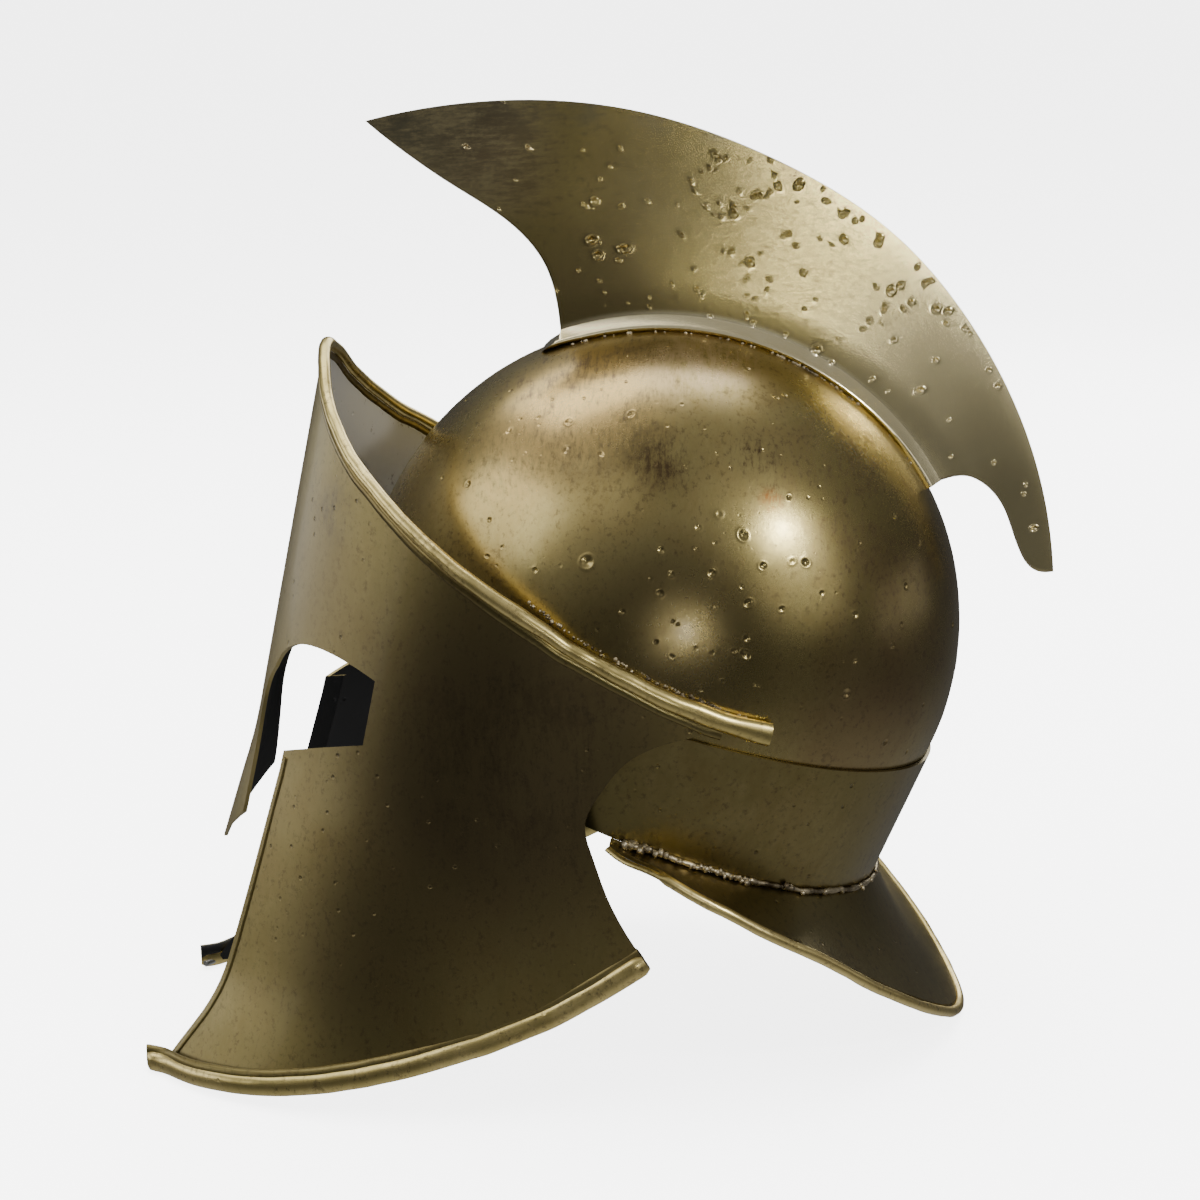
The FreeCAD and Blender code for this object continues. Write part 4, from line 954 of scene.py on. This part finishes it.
class HELMET_OT_rims(bpy.types.Operator):
    """Rolls the rims of the brow, the cheeks and the neck guard over their wires"""
    bl_idname = "helmet.rims"
    bl_label = "Rims"

    def execute(self, context):
        waves = context.scene.helmet_wear.rim_waves / MM
        self.brow(waves)
        self.cheeks(waves)
        self.guard(waves)
        self.hems()
        return {"FINISHED"}

    def brow(self, waves):
        """The brow's roll, which flattens at its rear ends, and the lip where it meets the plate."""
        left = brow_centre()
        line = spaced([Vector((-p.x, p.y, p.z)) for p in left[:0:-1]] + left, BROW_RUNS)
        bar, lip, plate = [], [], skin("face_plate")
        for i, (place, along, out, across) in enumerate(frames(line, from_axis)):
            share = abs(2 * i / BROW_RUNS - 1)
            radius = between_rows(BROW_RIM_RADII, share) * (1 + wobble(place, 9, 0.06))
            place = place + across * wobble(place, 28, waves) + out * (wobble(place, 17, waves * 0.5) - 0.2)
            thick = min(radius, 3.4) * mix(1.0, 0.74, ease(0.93, 1.0, share))
            bar.append((place, along, out, across, radius, thick))
            if share < 0.94:
                spot = place + across * (radius + 0.9)
                hit = plate.ray_cast(spot + out * 12, -out, 20)[0]
                lip.append(((hit or spot) - out * 0.45, along, out, across) + BROW_LIP)
        bar_piece("brow_rim", bar, 18, "rim", ["brow_rim_left", "brow_rim_right"])
        bar_piece("brow_rim_lip", lip, 18, "lip", [])

    def cheeks(self, waves):
        """The roll under each cheek and the flat fold over it."""
        line = spaced(centre_line("cheek_rim_left", (56.6, -192.2, 3.1), (0.5, 0.8, 0.0)), CHEEK_RUNS)
        bar, fold, length = [], [], line_length(line)
        for i, (place, along, out, across) in enumerate(frames(line, from_axis)):
            run = min(i, CHEEK_RUNS - i) / CHEEK_RUNS * length
            taper = mix(0.55, 1.0, math.sqrt(clamp(run / 3.0)))
            radius = CHEEK_ROLL * (1 + wobble(place, 10, 0.03)) * taper
            shift = wobble(place, 24, waves * 0.4)
            upward = across if across.z > 0 else -across
            bar.append((place + out * shift + upward * 1.7, along, out, across, radius + 1.75, radius))
            sink = 1.0 - ease(2.0, 26.0, run)
            fold.append((place + upward * 5.3 + out * (shift - 0.1 - sink), along, out, across) + CHEEK_FOLD)
        bar_piece("cheek_rims", bar, 20, "rim", ["cheek_rim_left", "cheek_rim_right"], True)
        bar_piece("cheek_rim_folds", fold, 20, "plate", [], True)

    def guard(self, waves):
        """The guard's rolled edge: a flat folded lip at both front ends, then a round roll."""
        start, heading = (104, 11, 113.5), (0.35, 0.8, -0.45)
        line = spaced(centre_line("neck_guard_rim", start, heading, 2.0, 3.4), GUARD_RUNS)
        bar, lip, length = [], [], line_length(line)
        for i, (place, along, out, across) in enumerate(frames(line, from_axis)):
            run = min(i, GUARD_RUNS - i) / GUARD_RUNS * length
            round_share = ease(25.0, 27.5, run)
            roll = GUARD_ROLL * (1 + wobble(place, 9, 0.08))
            upward = (Vector((0, 0, 1)) - along * along.z).normalized()
            side = along.cross(upward).normalized()
            wide, thick = [mix(flat, roll, round_share) for flat in GUARD_FLAT_END]
            bar.append((place + upward * wobble(place, 26, waves * 0.3), along, upward, side, wide, thick))
            inward = side if side.dot(from_axis(place)) < 0 else -side
            lip.append((place + inward * 2.3 + upward * 0.5, along, (upward + inward * 0.3).normalized(),
                        side) + GUARD_LIP)
        bar_piece("guard_rim", bar, 16, "rim", ["neck_guard_rim"])
        bar_piece("guard_rim_lip", lip, 16, "lip", [])

    def hems(self):
        """The raised line beside each cheek's front edge, where the sheet is folded in."""
        tree, places = skin("face_plate"), []
        for i in range(HEM_CASTS):
            level = mix(139.0, 8.0, i / (HEM_CASTS - 1))
            x = mix(57.0, 53.5, level / 141.5) + 2.3
            hit = tree.ray_cast(Vector((x, -260, level)), Vector((0, 1, 0)))[0]
            if hit and hit.y < -100:
                places.append(hit)
        stations = [row + HEM for row in frames(places, lambda place: Vector((0.5, -0.85, 0)))]
        bar_piece("cheek_front_hems", stations, 10, "plate", [], True, 60)


class HELMET_OT_welds(bpy.types.Operator):
    """Drops the welds: the seam round the neck, crumbs along the brow rim and under the crest's flange"""
    bl_idname = "helmet.welds"
    bl_label = "Welds"

    def execute(self, context):
        size, rng = context.scene.helmet_wear.weld_size / MM, random.Random(WELD_SEED)
        start, heading = (100.8, 17.5, 113.6), (0.1, 0.9, -0.4)
        line = spaced(centre_line("neck_weld_seam", start, heading, 2.0, 2.8), SEAM_RUNS)
        seam, bar = bmesh.new(), []
        for place, along, out, across in frames(line, from_axis):
            radius = size * (0.95 + wobble(place, 1.9, 0.42) + wobble(place, 7, 0.25, 3))
            place = place - out * 0.5 + across * wobble(place, 5, 0.5)
            bar.append((place, along, out, across, radius, radius))
        sweep(seam, bar, 9)
        length = line_length(line)
        for i, place in enumerate(line):
            run = min(i, SEAM_RUNS - i) / SEAM_RUNS * length
            chance = 0.8 if run < 14 else 0.4 if run < 60 else 0.06
            if rng.random() < chance:
                grown = size * mix(1.7, 1.0, ease(6, 24, run)) * rng.uniform(0.7, 1.25)
                jitter = Vector([rng.uniform(-0.9, 0.9) for _ in range(3)])
                bead(seam, place + jitter, grown, rng)
        make_piece("neck_weld", seam, ["weld"], ["neck_weld_seam"], 60)

        crumbs = bmesh.new()
        rows = frames(spaced(brow_centre(), CRUMB_RUNS), from_axis)
        shares = [rng.uniform(0.60, 0.985) for _ in range(70)]
        shares += [rng.gauss(0.90, 0.03) for _ in range(34)]
        for share in shares:
            place, along, out, across = rows[min(CRUMB_RUNS, int(share * CRUMB_RUNS))]
            for side in (1, -1):
                radius = size * rng.uniform(0.28, 0.75)
                start = place - across * (3.0 + rng.uniform(0.0, 1.5)) + along * rng.uniform(-2, 2)
                foot = on_bowl(start)[0]
                bead(crumbs, Vector((foot.x * side, foot.y, foot.z)), radius, rng)
        make_piece("brow_weld_crumbs", crumbs, ["weld"], ["brow_weld_beads"], 60)

        drops = bmesh.new()
        first = math.acos(CREST_FOOT_FRONT / BOWL_HALF.y)
        last = math.acos(CREST_FOOT_REAR / BOWL_HALF.y)
        for side in (1, -1):
            shares = [rng.uniform(0.50, 0.68) for _ in range(46)]
            shares += [rng.uniform(0.03, 0.97) for _ in range(30)]
            for share in shares:
                angle = mix(first, last, share)
                foot = on_bowl(at_polar(angle, bowl_radius(angle), 11.9 + rng.uniform(-0.3, 0.5)))[0]
                bead(drops, Vector((foot.x * side, foot.y, foot.z)), size * rng.uniform(0.3, 0.6), rng)
        make_piece("crest_weld_drops", drops, ["weld"], ["crest_weld_beads"], 60)
        return {"FINISHED"}


class HELMET_OT_sheets(bpy.types.Operator):
    """Gives the face plate, neck band, neck guard and wires their finishes"""
    bl_idname = "helmet.sheets"
    bl_label = "Sheets"

    def execute(self, context):
        dress(["face_plate"], "plate")
        dress(["neck_band"], "band")
        dress(["neck_guard"], "guard")
        dress(["brow_wire_left", "brow_wire_right", "cheek_wire_left", "cheek_wire_right",
               "neck_guard_wire"], "wire")
        return {"FINISHED"}


class HELMET_OT_liner(bpy.types.Operator):
    """Gives the liner its finishes and sews its headband"""
    bl_idname = "helmet.liner"
    bl_label = "Liner"

    def execute(self, context):
        dress(["liner_headband", "liner_crown"], "leather")
        dress(["liner_lace"], "lace")
        dress(["liner_pad"], "felt")
        dress([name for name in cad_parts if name.startswith("liner_bracket")], "wire")
        dress(["liner_rivets"], "wire")
        stitches = bmesh.new()
        for level in STITCH_LEVELS:
            for i in range(STITCHES_ROUND):
                turn = 2 * math.pi * i / STITCHES_ROUND
                place = Vector((HEADBAND_HALF.x * math.cos(turn), HEADBAND_HALF.y * math.sin(turn), 0))
                along = Vector((-HEADBAND_HALF.x * math.sin(turn), HEADBAND_HALF.y * math.cos(turn), 0))
                lay = Matrix.Rotation(math.atan2(along.y, along.x), 3, "Z")
                stitch = bmesh.ops.create_icosphere(stitches, subdivisions=1, radius=1.0)["verts"]
                bmesh.ops.scale(stitches, vec=STITCH_HALF, verts=stitch)
                bmesh.ops.rotate(stitches, cent=(0, 0, 0), matrix=lay, verts=stitch)
                bmesh.ops.translate(stitches, verts=stitch,
                                    vec=place + Vector((0, BOWL_MIDDLE.y, level)))
        make_piece("headband_stitches", stitches, ["thread"], [], 80)
        return {"FINISHED"}


# The studio: how bright the floor and the far background look, and the room's tone from nadir to zenith
GLOW = 4.5
ROOM_TONES = ((0.0, 0.50), (0.16, 0.32), (0.30, 0.12), (0.42, 0.075), (0.52, 0.070), (0.75, 0.22),
              (1.0, 0.36))

# Soft boxes: name, place, target, width and height in metres, power in watts
HELMET_MIDDLE = (0, 0, 0.2)
SOFT_BOXES = (
    ("front box", (0.56, -1.34, 1.21), (0.08, -0.03, 0.24), 1.5, 0.8, 7.7),
    ("low front box", (-0.30, -1.50, 0.18), (0, -0.1, 0.15), 2.0, 0.34, 4.6),
    ("top box", (-0.62, -0.15, 1.75), HELMET_MIDDLE, 1.8, 1.2, 19.5),
    ("camera box", (1.28, 0.18, 0.13), (0, 0.1, 0.33), 0.52, 0.24, 0.09),
    ("crest spark", (1.25, 0.215, 0.250), (0, 0.12, 0.344), 0.10, 0.10, 0.95),
    ("bowl spark", (0.96, 1.16, 1.03), (0.083, 0.083, 0.235), 0.12, 0.12, 9.5),
    ("rear box", (1.05, 1.25, 0.62), (0.08, 0.09, 0.22), 0.8, 0.7, 1.5),
    ("side box", (0.95, -0.55, 1.46), (0.083, 0.03, 0.24), 0.9, 0.6, 0.9),
    ("low rear box", (-0.15, 1.60, 0.12), (0.05, 0.13, 0.19), 0.9, 0.35, 0.4),
    ("far box", (-1.5, 0.5, 0.9), HELMET_MIDDLE, 1.0, 1.0, 10.0),
)


def soft_box(name, place, target, width, height, power):
    """A soft light that the camera does not see."""
    light = bpy.data.lights.new(name, "AREA")
    light.shape, light.size, light.size_y = "RECTANGLE", width, height
    light.energy = power
    lamp = bpy.data.objects.new(name, light)
    bpy.context.collection.objects.link(lamp)
    lamp.location = place
    lamp.rotation_euler = (Vector(target) - Vector(place)).to_track_quat("-Z", "Y").to_euler()
    lamp.visible_camera = False
    return lamp


class HELMET_OT_stage(bpy.types.Operator):
    """Lays the pale floor, hangs the studio lights and sets the camera"""
    bl_idname = "helmet.stage"
    bl_label = "Stage"

    def execute(self, context):
        settings = context.scene.helmet_studio
        bm = bmesh.new()
        bmesh.ops.create_grid(bm, x_segments=1, y_segments=1, size=60.0)
        mesh = bpy.data.meshes.new("floor")
        bm.to_mesh(mesh)
        bm.free()
        floor = bpy.data.objects.new("floor", mesh)
        f = Finish("pale floor")
        tone = settings.floor_tone
        mesh.materials.append(f.close({"Base Color": (tone, tone, tone, 1), "Roughness": 0.9,
                                       "Emission Color": (1, 1, 1, 1), "Emission Strength": GLOW}))
        context.collection.objects.link(floor)
        floor.visible_glossy = floor.visible_diffuse = False
        self.hang_sky(context.scene)
        over_floor = soft_box("floor light", (0.3, 0.0, 2.6), HELMET_MIDDLE, 3.0, 3.0, settings.floor_light)
        over_floor.visible_glossy = False
        for row in SOFT_BOXES:
            soft_box(*row)

        camera = bpy.data.objects.new("camera", bpy.data.cameras.new("camera"))
        context.collection.objects.link(camera)
        camera.data.sensor_width, camera.data.lens = SENSOR, settings.lens
        turn = Matrix((RIGHT, UP, BACK)).transposed()
        camera.matrix_world = Matrix.Translation(EYE) @ turn.to_4x4()
        context.scene.camera = camera
        return {"FINISHED"}

    def hang_sky(self, scene):
        """A dim room, paler below and overhead, and a pale background that only the camera sees."""
        world = bpy.data.worlds.new("studio")
        f = Finish("studio", world)
        stops = [(position, (tone, tone, tone, 1)) for position, tone in ROOM_TONES]
        ramp = f.node("ShaderNodeValToRGB", {"stops": stops}, {"Fac": f.axis("Z") * 0.5 + 0.5})
        room = f.node("ShaderNodeBackground", {}, {"Color": ramp.outputs[0]})
        pale = f.node("ShaderNodeBackground", {}, {"Color": (1, 1, 1, 1), "Strength": GLOW})
        seen_straight = f.node("ShaderNodeLightPath").outputs["Is Camera Ray"]
        both = f.node("ShaderNodeMixShader", {}, {0: seen_straight, 1: room.outputs[0], 2: pale.outputs[0]})
        f.node("ShaderNodeOutputWorld", {}, {0: both.outputs[0]})
        scene.world = world


class HELMET_PT_panel(bpy.types.Panel):
    """Lists the helmet's steps and settings"""
    bl_idname = "HELMET_PT_panel"
    bl_label = "Gladiator Helmet"
    bl_space_type = "VIEW_3D"
    bl_region_type = "UI"
    bl_category = "Helmet"

    def draw(self, context):
        for step in STEPS:
            self.layout.operator(step.bl_idname)
        for name in GROUPS:
            group = getattr(context.scene, name)
            for key in group.__annotations__:
                self.layout.prop(group, key)


GROUPS = {"helmet_finish": HelmetFinish, "helmet_wear": HelmetWear, "helmet_studio": StudioSettings}
STEPS = (HELMET_OT_bowl, HELMET_OT_crest, HELMET_OT_rims, HELMET_OT_welds, HELMET_OT_sheets,
         HELMET_OT_liner, HELMET_OT_stage)
CLASSES = tuple(GROUPS.values()) + STEPS + (HELMET_PT_panel,)


def register():
    for cls in CLASSES:
        bpy.utils.register_class(cls)
    for name, group in GROUPS.items():
        setattr(bpy.types.Scene, name, bpy.props.PointerProperty(type=group))


def unregister():
    for name in GROUPS:
        delattr(bpy.types.Scene, name)
    for cls in reversed(CLASSES):
        bpy.utils.unregister_class(cls)


def main():
    register()
    for step in STEPS:
        group, name = step.bl_idname.split(".")
        getattr(getattr(bpy.ops, group), name)()


if __name__ == "__main__":
    main()
